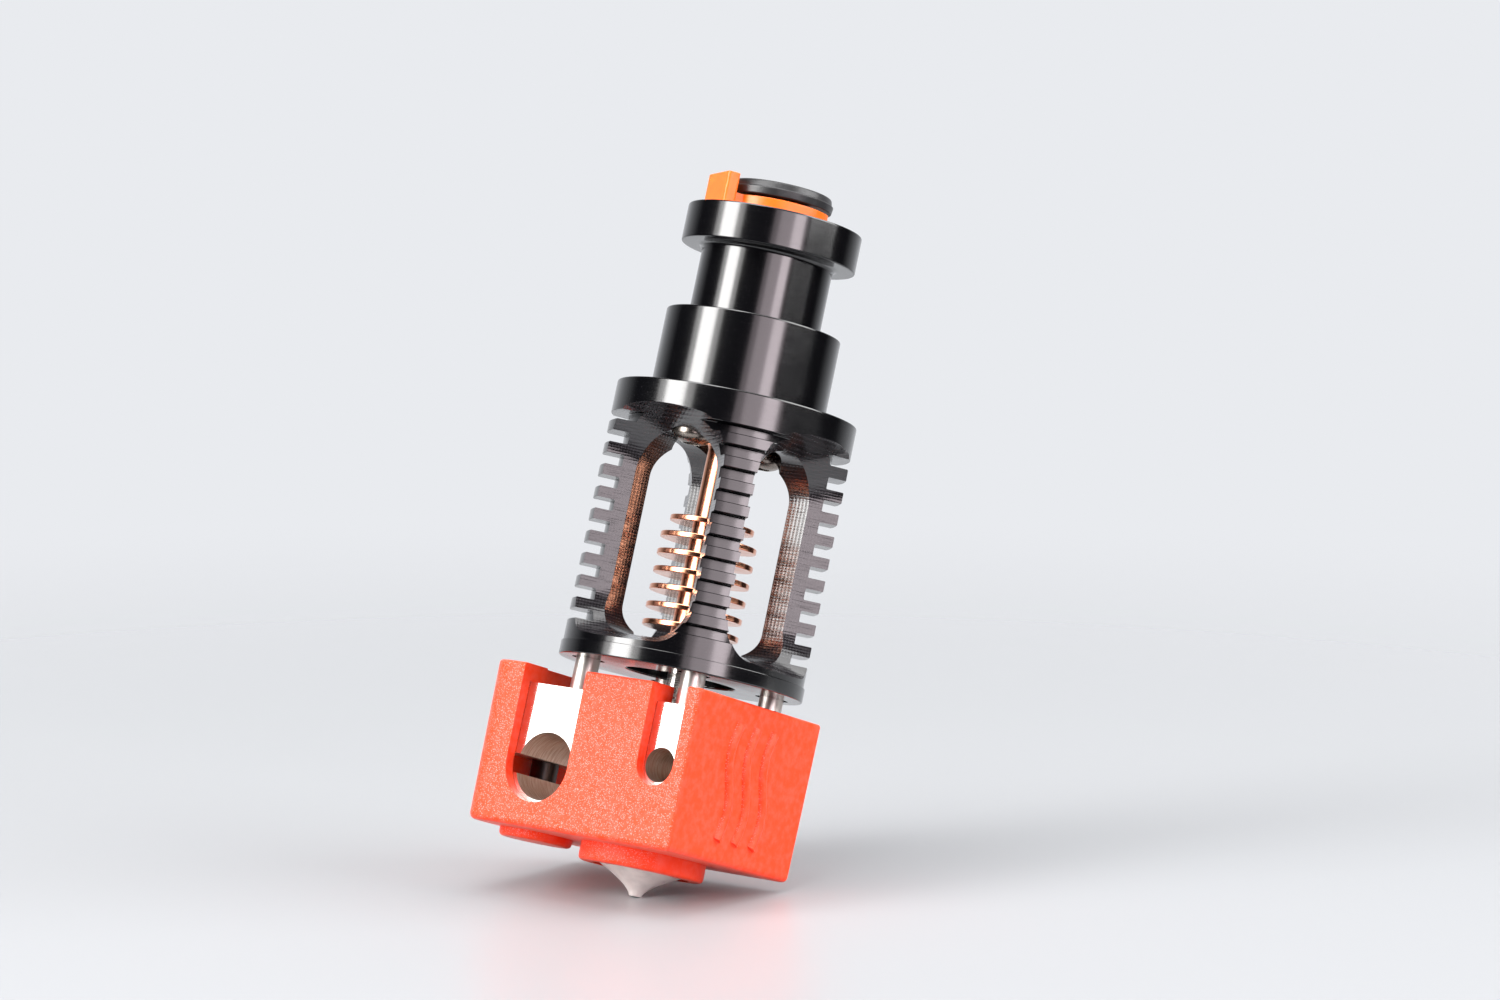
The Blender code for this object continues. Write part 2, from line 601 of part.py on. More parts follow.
def make_collet_seat():
    brass = finish("brass", 0.70, 0.50, 0.22, 0.3, 1.0)
    low, high = SEAT_BOTTOM, SINK_TOP - 0.05
    points = [(FILAMENT_BORE_RADIUS, low), (SEAT_RADIUS, low), (SEAT_RADIUS, high)]
    points += [(SEAT_MOUTH_RADIUS, high), (SEAT_MOUTH_RADIUS, high - SEAT_MOUTH_DEPTH)]
    points += [(SEAT_WAIST_RADIUS, high - SEAT_TAPER_END), (SEAT_WAIST_RADIUS, low + SEAT_FLOOR)]
    points += [(FILAMENT_BORE_RADIUS, low + SEAT_FLOOR)]
    add_object("collet_seat", turned(points, 32), brass)


def make_collet():
    plastic = finish("black_plastic", 0.02, 0.02, 0.02, 0.35, 0.0)
    foot = FINGER_FOOT_RADIUS
    points = [(COLLET_BORE_RADIUS, COLLET_BOTTOM), (foot, COLLET_BOTTOM), (foot, COLLET_BOTTOM + 0.9)]
    points += [(COLLET_RADIUS, COLLET_BOTTOM + 2.2), (COLLET_RADIUS, COLLET_RIM_BOTTOM)]
    middle = (COLLET_RIM_BOTTOM + COLLET_TOP) / 2
    points += [(COLLET_RIM_RADIUS - 0.1, COLLET_RIM_BOTTOM), (COLLET_RIM_RADIUS, middle)]
    points += [(COLLET_RIM_RADIUS - 0.15, middle + 0.05), (COLLET_RIM_RADIUS - 0.3, COLLET_TOP)]
    points += [(COLLET_BORE_RADIUS + 0.5, COLLET_TOP), (COLLET_BORE_RADIUS, COLLET_TOP - 0.5)]
    collet = add_object("collet", turned(points, 32), plastic)
    for direction in (0, 90):
        half = FINGER_SLOT / 2
        outline = [(-half, -5), (half, -5), (half, 5), (-half, 5)]
        shape = moved(prism(outline, COLLET_BOTTOM - 1, FINGER_SLOT_TOP), turn=direction)
        cut(collet, [add_object(f"finger_slot_{direction}", shape)])
    for index, direction in enumerate(QUARTERS):
        half = BLADE_WIDTH / 2 + BLADE_GAP
        pocket = [(-half, -3.4), (half, -3.4), (half, -1.5), (-half, -1.5)]
        low, high = COLLET_BOTTOM + BLADE_LOW - BLADE_GAP, COLLET_BOTTOM + BLADE_HIGH + BLADE_GAP
        shape = prism(pocket, low, high)
        cut(collet, [add_object(f"tooth_pocket_{index}", moved(shape, turn=direction))])


def make_collet_teeth():
    """Small steel blades, one in each finger, that bite into the filament guide tube."""
    steel = finish("spring_steel", 0.60, 0.60, 0.62, 0.2, 1.0)
    names = ("front_right", "rear_right", "rear_left", "front_left")
    for name, direction in zip(names, QUARTERS):
        half, root = BLADE_WIDTH / 2, COLLET_BORE_RADIUS
        outline = [(-half, -BLADE_REACH), (half, -BLADE_REACH), (half, -root)]
        outline += [(0, -BLADE_POINT), (-half, -root)]
        shape = prism(outline, COLLET_BOTTOM + BLADE_LOW, COLLET_BOTTOM + BLADE_HIGH)
        add_object(f"collet_tooth_{name}", moved(shape, turn=direction), steel)


def make_clip():
    """A C-shaped ring with a thumb tab. It is drawn with the tab towards -Y and then turned."""
    orange = finish("orange_plastic", 0.95, 0.28, 0.02, 0.3, 0.0)
    mouth_angle = math.degrees(math.asin(CLIP_MOUTH / 2 / CLIP_RADIUS))
    inner_angle = math.degrees(math.asin(CLIP_MOUTH / 2 / CLIP_BORE_RADIUS))
    outline = arc(0, 0, CLIP_RADIUS, 90 + mouth_angle, 450 - mouth_angle, 44)
    outline += arc(0, 0, CLIP_BORE_RADIUS, 450 - inner_angle, 90 + inner_angle, 28)
    clip = add_object("collet_clip", moved(prism(outline, CLIP_BOTTOM, CLIP_TOP), turn=CLIP_TURN), orange)
    half = TAB_WIDTH / 2
    tab_outline = rounded_box_outline(-half, half, -TAB_REACH, -TAB_REACH + TAB_THICKNESS, 0.3, 0.3, 3)
    tab = prism(tab_outline, CLIP_BOTTOM, TAB_TOP)
    web = prism([(-half + 0.4, -TAB_REACH + 0.6), (half - 0.4, -TAB_REACH + 0.6), (2.0, -3.6), (-2.0, -3.6)],
                CLIP_BOTTOM, CLIP_TOP)
    join(clip, [add_object("clip_tab", moved(tab, turn=CLIP_TURN))])
    join(clip, [add_object("clip_web", moved(web, turn=CLIP_TURN))])


def main():
    clear_scene()
    make_heat_sink()
    make_heat_break()
    make_throat()
    make_clamp_screws()
    make_posts()
    make_heater_block()
    make_block_screws()
    make_nozzle()
    make_sock()
    make_collet_seat()
    make_collet()
    make_collet_teeth()
    make_clip()


main()
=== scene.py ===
import math

import bmesh
import bpy
from mathutils import Matrix, Vector


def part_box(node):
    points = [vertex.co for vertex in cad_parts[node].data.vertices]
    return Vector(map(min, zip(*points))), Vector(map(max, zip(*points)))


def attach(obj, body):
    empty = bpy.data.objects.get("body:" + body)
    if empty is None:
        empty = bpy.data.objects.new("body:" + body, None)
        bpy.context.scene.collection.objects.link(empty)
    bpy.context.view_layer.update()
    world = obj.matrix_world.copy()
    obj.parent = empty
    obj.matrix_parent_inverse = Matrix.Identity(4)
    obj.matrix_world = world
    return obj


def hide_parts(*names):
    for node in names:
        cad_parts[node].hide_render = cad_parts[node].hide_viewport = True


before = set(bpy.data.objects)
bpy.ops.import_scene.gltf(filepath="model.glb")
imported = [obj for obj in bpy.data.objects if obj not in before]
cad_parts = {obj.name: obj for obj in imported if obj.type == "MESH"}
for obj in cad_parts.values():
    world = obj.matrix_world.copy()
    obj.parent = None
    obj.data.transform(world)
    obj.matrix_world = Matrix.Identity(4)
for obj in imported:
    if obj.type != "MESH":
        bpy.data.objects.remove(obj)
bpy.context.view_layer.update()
unit = 0.001          # every size below is in millimetres
turnSteps = 192       # sides of the largest turned pieces


def boxOf(node):
    low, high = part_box(node)
    return low / unit, high / unit


def middleOf(node):
    low, high = boxOf(node)
    return (low + high) / 2


class Signal:
    # one output of a shader tree, which the usual operators turn into maths nodes
    def __init__(self, tree, socket):
        self.tree = tree
        self.socket = socket

    def combine(self, operation, first, second=0.0):
        return self.tree.node("ShaderNodeMath", {"operation": operation}, {0: first, 1: second}).out()

    def __add__(self, other):
        return self.combine("ADD", self, other)

    def __radd__(self, other):
        return self.combine("ADD", other, self)

    def __sub__(self, other):
        return self.combine("SUBTRACT", self, other)

    def __rsub__(self, other):
        return self.combine("SUBTRACT", other, self)

    def __mul__(self, other):
        return self.combine("MULTIPLY", self, other)

    def sine(self):
        return self.combine("SINE", self)

    def size(self):
        return self.combine("ABSOLUTE", self)

    def between(self, low, high):
        inputs = {"Value": self, "From Min": low, "From Max": high}
        return self.tree.node("ShaderNodeMapRange", {"interpolation_type": "SMOOTHSTEP"}, inputs).out()


class Made:
    def __init__(self, tree, node):
        self.tree = tree
        self.node = node

    def out(self, key=0):
        return Signal(self.tree, self.node.outputs[key])


class ShaderTree:
    def __init__(self, tree):
        self.tree = tree

    def node(self, kind, settings=None, inputs=None):
        made = self.tree.nodes.new(kind)
        for key, value in (settings or {}).items():
            if key == "stops":
                self.fillRamp(made, value)
            else:
                setattr(made, key, value)
        for key, value in (inputs or {}).items():
            if isinstance(value, Signal):
                self.tree.links.new(value.socket, made.inputs[key])
            else:
                made.inputs[key].default_value = value
        return Made(self, made)

    def fillRamp(self, made, stops):
        for element, (place, color) in zip(made.color_ramp.elements, stops):
            element.position = place
            element.color = (*color, 1)

    def blend(self, share, first, second):
        inputs = {0: share, 6: self.asColor(first), 7: self.asColor(second)}
        return self.node("ShaderNodeMix", {"data_type": "RGBA"}, inputs).out(2)

    def asColor(self, value):
        return value if isinstance(value, Signal) else (*value, 1)

    def send(self, value, node, key):
        self.tree.links.new(value.socket, self.tree.nodes[node].inputs[key])


class Paint(ShaderTree):
    def __init__(self, name, color, **sockets):
        self.material = bpy.data.materials.new(name)
        self.material.use_nodes = True
        super().__init__(self.material.node_tree)
        self.shader = self.tree.nodes["Principled BSDF"]
        self.shader.inputs["Base Color"].default_value = (*color, 1)
        self.material.diffuse_color = (*color, 1)
        for key, value in sockets.items():
            self.shader.inputs[key.replace("_", " ")].default_value = value

    def place(self, scale=(1, 1, 1), turn=(0, 0, 0)):
        # object coordinates turned to millimetres, then stretched by the scale
        seen = self.node("ShaderNodeTexCoord").out("Object")
        wanted = tuple(part / unit for part in scale)
        return self.node("ShaderNodeMapping", {}, {"Vector": seen, "Scale": wanted, "Rotation": turn}).out()

    def noise(self, scale=(1, 1, 1), detail=2.0, roughness=0.5, turn=(0, 0, 0)):
        inputs = {"Vector": self.place(scale, turn), "Scale": 1.0, "Detail": detail, "Roughness": roughness}
        return self.node("ShaderNodeTexNoise", {}, inputs).out("Fac")

    def cells(self, scale):
        inputs = {"Vector": self.place(scale), "Scale": 1.0}
        return self.node("ShaderNodeTexVoronoi", {"feature": "F1"}, inputs).out("Distance")

    def axes(self, vector):
        made = self.node("ShaderNodeSeparateXYZ", {}, {0: vector})
        return [made.out(axis) for axis in range(3)]

    def feed(self, key, value):
        self.send(value, "Principled BSDF", key)

    def bump(self, height, distance):
        # the distance is in millimetres
        inputs = {"Height": height, "Strength": 1.0, "Distance": distance * unit}
        self.feed("Normal", self.node("ShaderNodeBump", {}, inputs).out())


# Looks. A scale is marks per millimetre along each axis, a swing is how far the roughness strays either
# side of its mean, and a depth is the height of the bumps in millimetres.
anodisedLook = {
    "color": (0.0018, 0.0018, 0.0024), "dust": (0.20, 0.19, 0.20), "roughness": 0.15, "reflects": 1.7,
    "ringScale": (0.4, 0.4, 16.0), "cloudScale": (0.5, 0.5, 0.5), "dustScale": (5.0, 5.0, 5.0),
    "ringSwing": 0.10, "cloudSwing": 0.05, "dustShare": 0.5, "depth": 0.0012,
}
milledLook = {
    "color": (0.002, 0.0018, 0.0022), "ridge": (0.030, 0.027, 0.031), "roughness": 0.18, "reflects": 1.8,
    "passScale": (0.5, 0.5, 12.0), "slantScale": (0.6, 0.6, 6.5),
    "slantTurn": (math.radians(32), math.radians(-28), 0), "across": 16.0, "up": 22.6,
    "passSwing": 0.16, "weaveSwing": 0.18, "slantShare": 0.8, "weaveShare": 0.9, "depth": 0.008,
}
copperLook = {
    "color": (0.84, 0.37, 0.225), "stain": (0.60, 0.22, 0.10), "roughness": 0.15,
    "ringScale": (0.6, 0.6, 22.0), "stainScale": (0.9, 0.9, 0.5), "stainShare": 0.45,
    "ringSwing": 0.12, "stainSwing": 0.06, "depth": 0.0015,
}
nickelLook = {
    "color": (0.74, 0.73, 0.70), "warm": (0.66, 0.63, 0.58), "roughness": 0.10,
    "grainScale": (0.5, 14.0, 14.0), "cloudScale": (0.4, 0.4, 0.4), "warmShare": 0.5,
    "grainSwing": 0.08, "cloudSwing": 0.06, "cloudBump": 0.4, "depth": 0.0012,
}
boredLook = {
    "color": (0.80, 0.65, 0.55), "valley": (0.72, 0.55, 0.45), "ridge": (0.96, 0.86, 0.78),
    "ringScale": (0.8, 11.0, 0.8), "roughness": 0.30, "swing": 0.2, "depth": 0.008,
}
steelLook = {
    "cloudScale": (0.7, 0.7, 0.7), "darker": 0.72, "share": 0.6, "lineSwing": 0.12, "cloudSwing": 0.05,
}
# in the red silicone the light colour is the paler tone for both the random mottle and the painted glints,
# which are painted highlights on the grained front and rear
siliconeLook = {
    "color": (1.0, 0.050, 0.003), "light": (1.0, 0.32, 0.29), "roughness": 0.42, "reflects": 1.37,
    "scatter": (1.0, 0.25, 0.12), "grainScale": (6.0, 6.0, 6.0), "glintScale": (6.5, 6.5, 6.5),
    "mottleScale": (1.6, 1.6, 1.6), "mottleShare": 0.12, "paintedGlintShare": 0.85,
    "grainSwing": 0.2, "glintSwing": 0.12, "roughSwing": 0.05, "smoothBump": 0.15, "depth": 0.06,
}
plasticLook = {"cloudScale": (0.8, 0.8, 0.8), "share": 0.6, "swing": 0.16}


def anodisedPaint():
    look = anodisedLook
    paint = Paint("blackAnodisedFinish", look["color"], IOR=look["reflects"], Roughness=look["roughness"])
    rings = paint.noise(look["ringScale"], 3)
    cloud = paint.noise(look["cloudScale"], 3)
    speck = 1 - paint.cells(look["dustScale"]).between(0.03, 0.07)
    paint.feed("Roughness", look["roughness"] + (rings - 0.5) * look["ringSwing"]
               + (cloud - 0.5) * look["cloudSwing"])
    paint.feed("Base Color", paint.blend(speck * look["dustShare"], look["color"], look["dust"]))
    paint.bump(rings, look["depth"])
    return paint.material


def milledPaint():
    look = milledLook
    paint = Paint("milledBlackFinish", look["color"], IOR=look["reflects"], Roughness=look["roughness"])
    # fine passes of the cutter one way, the ghost of its ramping moves on a slant, and a close weave
    passes = paint.noise(look["passScale"], 1)
    slant = paint.noise(look["slantScale"], 1, turn=look["slantTurn"])
    x, y, z = paint.axes(paint.place())
    sideways = ((x + y) * look["across"]).sine() + ((x - y) * look["across"]).sine()
    weave = (z * look["up"]).sine() * 0.25 + sideways * 0.125 + 0.5
    paint.feed("Base Color", paint.blend(weave, look["color"], look["ridge"]))
    paint.feed("Roughness", look["roughness"] + (passes - 0.5) * look["passSwing"]
               + (weave - 0.5) * look["weaveSwing"])
    paint.bump(passes + slant * look["slantShare"] + weave * look["weaveShare"], look["depth"])
    return paint.material


def copperPaint():
    look = copperLook
    paint = Paint("polishedCopper", look["color"], Metallic=1.0, Roughness=look["roughness"])
    rings = paint.noise(look["ringScale"], 2)
    stain = paint.noise(look["stainScale"], 4).between(0.35, 0.75)
    paint.feed("Base Color", paint.blend(stain * look["stainShare"], look["color"], look["stain"]))
    paint.feed("Roughness", look["roughness"] + (rings - 0.5) * look["ringSwing"]
               + stain * look["stainSwing"])
    paint.bump(rings, look["depth"])
    return paint.material


def nickelPaint():
    look = nickelLook
    paint = Paint("nickelPlating", look["color"], Metallic=1.0, Roughness=look["roughness"])
    grain = paint.noise(look["grainScale"], 2)
    cloud = paint.noise(look["cloudScale"], 3)
    paint.feed("Roughness", look["roughness"] + (grain - 0.5) * look["grainSwing"]
               + (cloud - 0.5) * look["cloudSwing"])
    warmth = cloud.between(0.3, 0.8) * look["warmShare"]
    paint.feed("Base Color", paint.blend(warmth, look["color"], look["warm"]))
    paint.bump(grain + cloud * look["cloudBump"], look["depth"])
    return paint.material


def boredPaint():
    look = boredLook
    paint = Paint("boredNickel", look["color"], Metallic=1.0)
    rings = paint.noise(look["ringScale"], 2)
    paint.feed("Base Color", paint.blend(rings.between(0.3, 0.7), look["valley"], look["ridge"]))
    paint.feed("Roughness", look["roughness"] + rings * look["swing"])
    paint.bump(rings, look["depth"])
    return paint.material


def steelPaint(name, color, roughness, scale, depth=0.001, metallic=1.0):
    look = steelLook
    paint = Paint(name, color, Metallic=metallic, Roughness=roughness)
    lines = paint.noise(scale, 2)
    cloud = paint.noise(look["cloudScale"], 3)
    darker = tuple(part * look["darker"] for part in color)
    paint.feed("Base Color", paint.blend(cloud.between(0.35, 0.8) * look["share"], color, darker))
    paint.feed("Roughness", roughness + (lines - 0.5) * look["lineSwing"]
               + (cloud - 0.5) * look["cloudSwing"])
    paint.bump(lines, depth)
    return paint.material


def siliconePaint():
    look = siliconeLook
    paint = Paint("redSilicone", look["color"], Roughness=look["roughness"], IOR=look["reflects"],
                  Subsurface_Weight=0.12, Subsurface_Scale=0.6 * unit, Subsurface_Radius=look["scatter"],
                  Sheen_Weight=0.06, Sheen_Roughness=0.4)
    grain = paint.noise(look["grainScale"], 3, 0.6)
    mottle = paint.noise(look["mottleScale"], 4)
    # the moulded front and rear carry a coarse spark-eroded grain, the ends are smooth; only the front and
    # rear also get painted glints, pale dots of painted highlight that make those faces lighter than the
    # ends
    facing = paint.axes(paint.node("ShaderNodeNewGeometry").out("True Normal"))
    grainAndGlintFaces = facing[1].size().between(0.5, 0.95)
    paintedGlint = (1 - paint.cells(look["glintScale"]).between(0.12, 0.42)) * grainAndGlintFaces
    mottleAndGlint = mottle.between(0.3, 0.75) * look["mottleShare"] + paintedGlint * look["paintedGlintShare"]
    paint.feed("Base Color", paint.blend(mottleAndGlint, look["color"], look["light"]))
    paint.feed("Roughness", look["roughness"] + (grain - 0.5) * look["grainSwing"]
               - paintedGlint * look["glintSwing"] + grainAndGlintFaces * look["roughSwing"])
    smooth = look["smoothBump"]
    paint.bump(grain * (grainAndGlintFaces * (1 - smooth) + smooth), look["depth"])
    return paint.material


def plasticPaint(name, color, light, roughness, grain, depth, **sockets):
    look = plasticLook
    paint = Paint(name, color, Roughness=roughness, **sockets)
    fine = paint.noise((grain, grain, grain), 3, 0.6)
    cloud = paint.noise(look["cloudScale"], 3)
    paint.feed("Base Color", paint.blend(cloud.between(0.3, 0.8) * look["share"], color, light))
    paint.feed("Roughness", roughness + (fine - 0.5) * look["swing"])
    paint.bump(fine, depth)
    return paint.material


anodised = anodisedPaint()
milled = milledPaint()
copper = copperPaint()
nickel = nickelPaint()
bored = boredPaint()
silicone = siliconePaint()
screwSteel = steelPaint("stainlessScrew", (0.30, 0.26, 0.23), 0.27, (6, 6, 6))
postSteel = steelPaint("postSteel", (0.66, 0.62, 0.58), 0.38, (9, 9, 0.5), 0.002)
blackSteel = steelPaint("blackSteelScrew", (0.07, 0.065, 0.065), 0.34, (8, 8, 8), 0.004)
hardened = steelPaint("hardenedSteel", (1.0, 0.92, 0.88), 0.44, (0.8, 0.8, 14), 0.005, 0.5)
throatSteel = steelPaint("throatSteel", (0.55, 0.53, 0.50), 0.28, (0.6, 0.6, 14), 0.003)
springSteel = steelPaint("springSteel", (0.60, 0.60, 0.62), 0.2, (10, 10, 2))
brass = steelPaint("turnedBrass", (0.72, 0.52, 0.24), 0.26, (0.6, 0.6, 12), 0.002)
blackPlastic = plasticPaint("blackPlastic", (0.014, 0.014, 0.015), (0.045, 0.045, 0.048), 0.36, 7.0, 0.010)
orangePlastic = plasticPaint("orangePlastic", (1.0, 0.145, 0.004), (1.0, 0.19, 0.012), 0.34, 5.0, 0.004,
                             Subsurface_Weight=0.15, Subsurface_Scale=0.8 * unit)
print("finishes made")


def toObject(name, shape, finish):
    bmesh.ops.remove_doubles(shape, verts=shape.verts, dist=1e-5)
    bmesh.ops.recalc_face_normals(shape, faces=shape.faces)
    mesh = bpy.data.meshes.new(name)
    shape.to_mesh(mesh)
    shape.free()
    thing = bpy.data.objects.new(name, mesh)
    bpy.context.scene.collection.objects.link(thing)
    mesh.materials.append(finish)
    return thing


def softened(points, steps=3, closed=True):
    # each point may carry a third number: how far its corner is drawn back to round it
    drawn = []
    count = len(points)
    for index, point in enumerate(points):
        here = Vector(point[:2])
        back = point[2] if len(point) > 2 else 0
        if not back or (not closed and index in (0, count - 1)):
            drawn.append(tuple(here))
            continue
        before = (Vector(points[index - 1][:2]) - here).normalized() * back + here
        after = (Vector(points[(index + 1) % count][:2]) - here).normalized() * back + here
        for step in range(steps + 1):
            share = step / steps
            spot = before * (1 - share) ** 2 + here * 2 * share * (1 - share) + after * share ** 2
            drawn.append(tuple(spot))
    return drawn


def turned(outline, steps):
    shape = bmesh.new()
    rings = []
    for radius, height in outline:
        if radius < 1e-6:
            rings.append([shape.verts.new((0, 0, height))] * steps)
            continue
        spots = [2 * math.pi * step / steps for step in range(steps)]
        rings.append([shape.verts.new((radius * math.cos(a), radius * math.sin(a), height)) for a in spots])
    for lower, upper in zip(rings, rings[1:] + rings[:1]):
        for step in range(steps):
            after = (step + 1) % steps
            corners = list(dict.fromkeys([lower[step], lower[after], upper[after], upper[step]]))
            if len(corners) > 2:
                shape.faces.new(corners)
    return shape


def stacked(levels):
    # closed solid through outlines of equal length, each a list of (x, y, z)
    shape = bmesh.new()
    rings = [[shape.verts.new(spot) for spot in level] for level in levels]
    shape.faces.new(rings[0])
    shape.faces.new(rings[-1])
    for below, above in zip(rings, rings[1:]):
        for index in range(len(below)):
            after = (index + 1) % len(below)
            shape.faces.new((below[index], below[after], above[after], above[index]))
    return shape


def prism(outline, low, high):
    return stacked([[(x, y, z) for x, y in outline] for z in (low, high)])


def arc(centreX, centreY, radius, start, end, steps):
    spots = (math.radians(start + (end - start) * step / steps) for step in range(steps + 1))
    return [(centreX + radius * math.cos(a), centreY + radius * math.sin(a)) for a in spots]


def roundBox(left, right, low, high, leftCorner, rightCorner, steps=8):
    points = arc(right - rightCorner, low + rightCorner, rightCorner, -90, 0, steps)
    points += arc(right - rightCorner, high - rightCorner, rightCorner, 0, 90, steps)
    points += arc(left + leftCorner, high - leftCorner, leftCorner, 90, 180, steps)
    points += arc(left + leftCorner, low + leftCorner, leftCorner, 180, 270, steps)
    return points


def moved(shape, x=0, y=0, z=0, turn=0, axis="Z"):
    matrix = Matrix.Translation((x, y, z)) @ Matrix.Rotation(math.radians(turn), 4, axis)
    bmesh.ops.transform(shape, matrix=matrix, verts=shape.verts)
    return shape


def rod(radius, low, high, steps):
    return turned([(0, low), (radius, low), (radius, high), (0, high)], steps)


def applyAll(thing):
    graph = bpy.context.evaluated_depsgraph_get()
    mesh = bpy.data.meshes.new_from_object(thing.evaluated_get(graph))
    thing.modifiers.clear()
    thing.data = mesh
    return thing


def carve(thing, cutters, operation="DIFFERENCE"):
    for cutter in cutters:
        step = thing.modifiers.new("step", "BOOLEAN")
        step.operation = operation
        step.solver = "EXACT"
        step.material_mode = "TRANSFER"
        step.object = cutter
    applyAll(thing)
    for cutter in cutters:
        bpy.data.objects.remove(cutter)
    return thing


def closeMesh(mesh):
    # joins corners that cutting left a hair apart and splits many-sided faces, to keep the skin closed
    shape = bmesh.new()
    shape.from_mesh(mesh)
    bmesh.ops.remove_doubles(shape, verts=shape.verts, dist=0.0005)
    bmesh.ops.dissolve_degenerate(shape, edges=shape.edges, dist=0.0005)
    many = [face for face in shape.faces if len(face.verts) > 4]
    bmesh.ops.triangulate(shape, faces=many, quad_method="BEAUTY", ngon_method="BEAUTY")
    bmesh.ops.dissolve_degenerate(shape, edges=shape.edges, dist=0.0005)
    holes = [edge for edge in shape.edges if edge.is_boundary]
    bmesh.ops.holes_fill(shape, edges=holes, sides=8)
    shape.to_mesh(mesh)
    shape.free()


def finishPiece(thing, body, nodes, edge=0.0, segments=2, sharp=32, limit=40):
    # rounds the edges left by cutting, smooths the faces and takes the piece from millimetres to metres
    if edge:
        weld = thing.modifiers.new("weld", "WELD")
        weld.merge_threshold = 0.002
        bevel = thing.modifiers.new("edges", "BEVEL")
        bevel.width = edge
        bevel.segments = segments
        bevel.limit_method = "ANGLE"
        bevel.angle_limit = math.radians(limit)
        bevel.use_clamp_overlap = True
        bevel.miter_outer = "MITER_ARC"
        applyAll(thing)
    mesh = thing.data
    closeMesh(mesh)
    mesh.shade_smooth()
    mesh.set_sharp_from_angle(angle=math.radians(sharp))
    normals = thing.modifiers.new("normals", "WEIGHTED_NORMAL")
    normals.keep_sharp = True
    applyAll(thing)
    thing.data.transform(Matrix.Scale(unit, 4))
    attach(thing, body)
    if nodes:
        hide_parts(*nodes)
    print("piece", thing.name, len(thing.data.polygons), "faces")


def startTree(name, inputs):
    tree = bpy.data.node_groups.new(name, "GeometryNodeTree")
    tree.interface.new_socket("Geometry", in_out="INPUT", socket_type="NodeSocketGeometry")
    tree.interface.new_socket("Geometry", in_out="OUTPUT", socket_type="NodeSocketGeometry")
    for label, kind in inputs.items():
        tree.interface.new_socket(label, in_out="INPUT", socket_type="NodeSocket" + kind)
    return tree, tree.nodes.new("NodeGroupInput"), tree.nodes.new("NodeGroupOutput")


def addNode(tree, kind, settings=None, inputs=None):
    made = tree.nodes.new(kind)
    for key, value in (settings or {}).items():
        setattr(made, key, value)
    for key, value in (inputs or {}).items():
        if isinstance(value, bpy.types.NodeSocket):
            tree.links.new(value, made.inputs[key])
        else:
            made.inputs[key].default_value = value
    return made


def endTree(tree, given, result, geometry):
    real = addNode(tree, "GeometryNodeRealizeInstances", {}, {"Geometry": geometry})
    inputs = {"Geometry": real.outputs[0], "Material": given.outputs["Finish"]}
    coated = addNode(tree, "GeometryNodeSetMaterial", {}, inputs)
    tree.links.new(coated.outputs[0], result.inputs[0])
    return tree


def maths(tree, operation, *values):
    return addNode(tree, "ShaderNodeMath", {"operation": operation}, dict(enumerate(values))).outputs[0]


def vector(tree, x=0.0, y=0.0, z=0.0):
    return addNode(tree, "ShaderNodeCombineXYZ", {}, {0: x, 1: y, 2: z}).outputs[0]


def line(tree, count, start, step):
    inputs = {"Count": count, "Start Location": start, "Offset": step}
    return addNode(tree, "GeometryNodeMeshLine", {"mode": "OFFSET"}, inputs).outputs[0]


def copies(tree, points, shape, **inputs):
    inputs = {"Points": points, "Instance": shape, **inputs}
    return addNode(tree, "GeometryNodeInstanceOnPoints", {}, inputs).outputs[0]


def rowTree():
    # copies of the given mesh in a straight row, the last one scaled across the row
    tree, given, result = startTree("evenRow", {
        "Count": "Int", "Start": "Vector", "Step": "Vector", "Last Width": "Float", "Finish": "Material"})
    count = given.outputs["Count"]
    row = line(tree, count, given.outputs["Start"], given.outputs["Step"])
    index = addNode(tree, "GeometryNodeInputIndex").outputs[0]
    isLast = maths(tree, "COMPARE", index, maths(tree, "SUBTRACT", count, 1.0), 0.5)
    widths = {0: isLast, 2: 1.0, 3: given.outputs["Last Width"]}
    wide = addNode(tree, "ShaderNodeMix", {"data_type": "FLOAT"}, widths).outputs[0]
    placed = copies(tree, row, given.outputs["Geometry"], Scale=vector(tree, wide, wide, 1.0))
    return endTree(tree, given, result, placed)


def cornersTree():
    # one copy of the given mesh at each corner of a rectangle
    tree, given, result = startTree("fourCorners", {
        "Width": "Float", "Depth": "Float", "Finish": "Material"})
    width, depth = given.outputs["Width"], given.outputs["Depth"]
    grid = addNode(tree, "GeometryNodeMeshGrid", {},
                   {"Size X": width, "Size Y": depth, "Vertices X": 2, "Vertices Y": 2})
    return endTree(tree, given, result, copies(tree, grid.outputs[0], given.outputs["Geometry"]))


